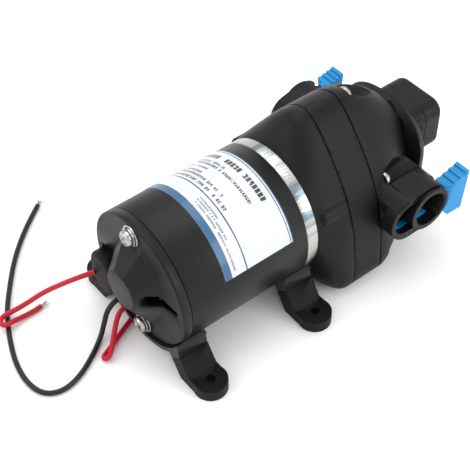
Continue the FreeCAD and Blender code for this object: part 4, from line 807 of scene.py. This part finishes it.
class PUMP_OT_materials(bpy.types.Operator):
    """Make the procedural finishes and give one to every node of the frame"""
    bl_idname = "pump.materials"
    bl_label = "Finishes"

    def execute(self, context):
        make_materials(context.scene.pump_finish)
        slots = {part["node"]: part["material_slot"] for part in frame["record"]["subparts"]}
        for name, node in NODES.items():
            node.data.materials.clear()
            node.data.materials.append(MATERIALS[slots[name]])
        return {"FINISHED"}


class PUMP_OT_camera(bpy.types.Operator):
    """Set the camera at the photograph's viewing angle"""
    bl_idname = "pump.camera"
    bl_label = "Camera"

    def execute(self, context):
        data = bpy.data.cameras.new("PumpCamera")
        data.sensor_width = 36.0
        data.lens = context.scene.pump_stage.focal_length
        data.clip_start, data.clip_end = 0.01, 20.0
        camera = new_object("PumpCamera", data)
        heading = Matrix.Rotation(CAMERA_HEADING, 4, "Z")
        dip = Matrix.Rotation(math.pi / 2 - CAMERA_DIP, 4, "X")
        roll = Matrix.Rotation(-CAMERA_ROLL, 4, "Z")
        camera.matrix_world = Matrix.Translation(CAMERA_PLACE) @ heading @ dip @ roll
        context.scene.camera = camera
        return {"FINISHED"}


class PUMP_OT_stage(bpy.types.Operator):
    """Lay the plain floor and set the soft studio light"""
    bl_idname = "pump.stage"
    bl_label = "Stage"

    def execute(self, context):
        stage = context.scene.pump_stage
        work = bmesh.new()
        bmesh.ops.create_grid(work, x_segments=1, y_segments=1, size=FLOOR_HALF_SIDE,
                              matrix=Matrix.Translation((0, 0, -FLOOR_DROP)))
        mesh = mesh_from(work, "Floor")
        mesh.materials.append(start_material("PaleFloor", tuple(stage.floor_colour), 0.8,
                                             Specular_IOR_Level=0.1)[0])
        new_object("Floor", mesh)
        world = bpy.data.worlds.new("StudioLight")
        world.use_nodes = True
        back = world.node_tree.nodes["Background"]
        back.inputs["Color"].default_value = (1.0, 1.0, 1.0, 1.0)
        back.inputs["Strength"].default_value = stage.sky
        context.scene.world = world
        for name, place, aim, side, power in LAMPS:
            data = bpy.data.lights.new(name, "AREA")
            data.shape = "SQUARE"
            data.size = side
            data.energy = power
            lamp = new_object(name, data)
            lamp.location = place
            heading = Vector(aim) - Vector(place)
            lamp.rotation_euler = heading.to_track_quat("-Z", "Y").to_euler()
        context.scene.view_settings.view_transform = "Standard"
        context.scene.view_settings.look = "None"
        return {"FINISHED"}


class PUMP_OT_leads(bpy.types.Operator):
    """Lay the black lead, the red lead and the looped red lead, with their bare strands"""
    bl_idname = "pump.leads"
    bl_label = "Leads"

    def execute(self, context):
        settings = context.scene.pump_leads
        for name, route, material, node, far_end, bare in (
                ("BlackLead", BLACK_ROUTE, "lead_black", "black_lead", "bare",
                 "black_lead_strands"),
                ("RedLead", RED_ROUTE, "lead_red", "red_lead", "bare", "red_lead_strands"),
                ("LoopedLead", LOOP_ROUTE, "lead_red", "switch_lead", "object", None)):
            lead = self.lead(name, route, settings.diameter, material)
            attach(lead, "housing")
            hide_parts(node)
            line = centre_line(route)
            pieces = [self.strands(name + "Strands", line, settings, bare)] if bare else []
        return {"FINISHED"}

    def lead(self, name, route, diameter, material):
        curve = route_curve(name, route)
        curve.bevel_depth = diameter / 2
        curve.bevel_resolution = 6
        curve.use_fill_caps = True
        curve.materials.append(MATERIALS[material])
        return new_object(name, curve)

    def strands(self, name, line, settings, node):
        """Fine bare strands that fan out of the lead's end."""
        end = Vector(line[-1])
        along = (end - Vector(line[-3])).normalized()
        across = Vector((-along.y, along.x, 0.0)).normalized()
        count = settings.strand_count
        work = bmesh.new()
        for index in range(count):
            spine = strand_spine(end, along, across, index, count, settings.strand_length)
            skin(work, tube_rings(work, spine, STRAND_RADIUS))
        mesh = mesh_from(work, name, 60)
        return add_piece(name, mesh, "bright_steel", "housing", (node,))


class PUMP_OT_motor(bpy.types.Operator):
    """Dress the can, its label, the front bell and the rear cover"""
    bl_idname = "pump.motor"
    bl_label = "Motor"

    def execute(self, context):
        mesh = mesh_from(revolve(can_profile(), CAN_STEPS, True), "MotorCan", 50)
        mesh.transform(Matrix.Translation((0, 0, AXIS_Z)))
        add_piece("MotorCan", mesh, "motor_black", "housing", ("motor_can",))
        dressed("name_label", "NameLabel", "label_white")
        dressed("front_bell", "FrontBell", "bell_aluminium")
        dressed("rear_cover", "RearCover", "cover_plastic", sharp_angle=58, weight=50)
        dressed("wire_boot", "WireBoot", "black_rubber", sharp_angle=40)
        return {"FINISHED"}


class PUMP_OT_head(bpy.types.Operator):
    """Dress the pump head's housings, its front cover and the pressure switch"""
    bl_idname = "pump.head"
    bl_label = "Pump head"

    def execute(self, context):
        for node, name in (("drive_housing", "DriveHousing"), ("valve_housing", "ValveHousing"),
                           ("upper_housing", "UpperHousing"), ("front_cover", "FrontCover")):
            dressed(node, name, "black_plastic", sharp_angle=34)
        for node, name in (("switch_base", "SwitchBase"), ("switch_cap", "SwitchCap")):
            dressed(node, name, "switch_plastic", sharp_angle=34)
        return {"FINISHED"}


class PUMP_OT_feet(bpy.types.Operator):
    """Dress the four rubber feet and the two saddles"""
    bl_idname = "pump.feet"
    bl_label = "Feet"

    def execute(self, context):
        for end in ("rear", "front"):
            dressed(end + "_saddle", end.title() + "Saddle", "saddle_steel")
            for side in ("left", "right"):
                dressed("foot_%s_%s" % (end, side), "Foot%s%s" % (end.title(), side.title()),
                        "black_rubber")
        return {"FINISHED"}


class PUMP_OT_clips(bpy.types.Operator):
    """Dress the two slide clips"""
    bl_idname = "pump.clips"
    bl_label = "Slide clips"

    def execute(self, context):
        for side in ("left", "right"):
            dressed("slide_clip_" + side, "SlideClip" + side.title(), "blue_plastic",
                    "clip_" + side, sharp_angle=18)
        return {"FINISHED"}


class PUMP_OT_fixings(bpy.types.Operator):
    """Make the cross-head screws and the washers that show"""
    bl_idname = "pump.fixings"
    bl_label = "Fixings"

    def execute(self, context):
        sizes = context.scene.pump_fixings
        spring_x = COVER_SEAT_X - WASHER_THICKNESS
        screw_x = spring_x - SPRING_WASHER_HEIGHT
        screw = screw_mesh("CoverScrew", sizes.cover_screw_radius, height=0.0030,
                           shank_length=0.0060, recess=0.0034)
        add_copies("CoverScrews", "through_bolts", screw, self.cover_places(screw_x),
                   [(0.5, 0, 0), (1.1, 0, 0)])
        add_copies("FlatWashers", "flat_washers", washer_mesh(sizes.washer_radius, "FlatWasher"),
                   self.cover_places(COVER_SEAT_X), [(0, 0, 0), (0, 0, 0)])
        add_copies("SpringWashers", "spring_washers", spring_washer_mesh("SpringWasher"),
                   self.cover_places(spring_x), [(1.3, 0, 0), (3.9, 0, 0)])
        screw = screw_mesh("HeadScrew", sizes.head_screw_radius, height=0.0032,
                           shank_length=0.0080, recess=0.0027)
        places = [(HEAD_SEAT_X, y, AXIS_Z + z) for y, z in HEAD_SCREWS]
        turns = [(0.3 * index, 0, math.pi) for index in range(len(HEAD_SCREWS))]
        add_copies("HeadScrews", "head_screws", screw, places, turns)
        return {"FINISHED"}

    def cover_places(self, x):
        """The upper and the lower place on the rear cover's screw circle."""
        y = COVER_SCREW_CIRCLE * math.sin(COVER_SCREW_TILT)
        z = COVER_SCREW_CIRCLE * math.cos(COVER_SCREW_TILT)
        return [(x, y, AXIS_Z + z), (x, -y, AXIS_Z - z)]


class PUMP_PT_panel(bpy.types.Panel):
    bl_label = "Pump"
    bl_idname = "PUMP_PT_panel"
    bl_space_type = "VIEW_3D"
    bl_region_type = "UI"
    bl_category = "Pump"

    def draw(self, context):
        layout = self.layout
        for settings in SETTINGS:
            box = layout.box()
            group = getattr(context.scene, settings)
            for name in group.bl_rna.properties.keys():
                if name not in ("rna_type", "name"):
                    box.prop(group, name)
        for step in STEPS:
            layout.operator(step.bl_idname)


SETTINGS = {"pump_finish": PumpFinish, "pump_leads": PumpLeads, "pump_fixings": PumpFixings,
            "pump_stage": PumpStage}
STEPS = (PUMP_OT_materials, PUMP_OT_camera, PUMP_OT_stage, PUMP_OT_leads, PUMP_OT_motor,
         PUMP_OT_head, PUMP_OT_feet, PUMP_OT_clips, PUMP_OT_fixings)


def register():
    for kind in (*SETTINGS.values(), *STEPS, PUMP_PT_panel):
        bpy.utils.register_class(kind)
    for name, kind in SETTINGS.items():
        setattr(bpy.types.Scene, name, bpy.props.PointerProperty(type=kind))


def unregister():
    for name in SETTINGS:
        delattr(bpy.types.Scene, name)
    for kind in reversed((*SETTINGS.values(), *STEPS, PUMP_PT_panel)):
        bpy.utils.unregister_class(kind)


def main():
    register()
    for step in STEPS:
        family, action = step.bl_idname.split(".")
        result = getattr(getattr(bpy.ops, family), action)()
        if result != {"FINISHED"}:
            raise RuntimeError(step.bl_idname + " did not finish")


if __name__ == "__main__":
    main()
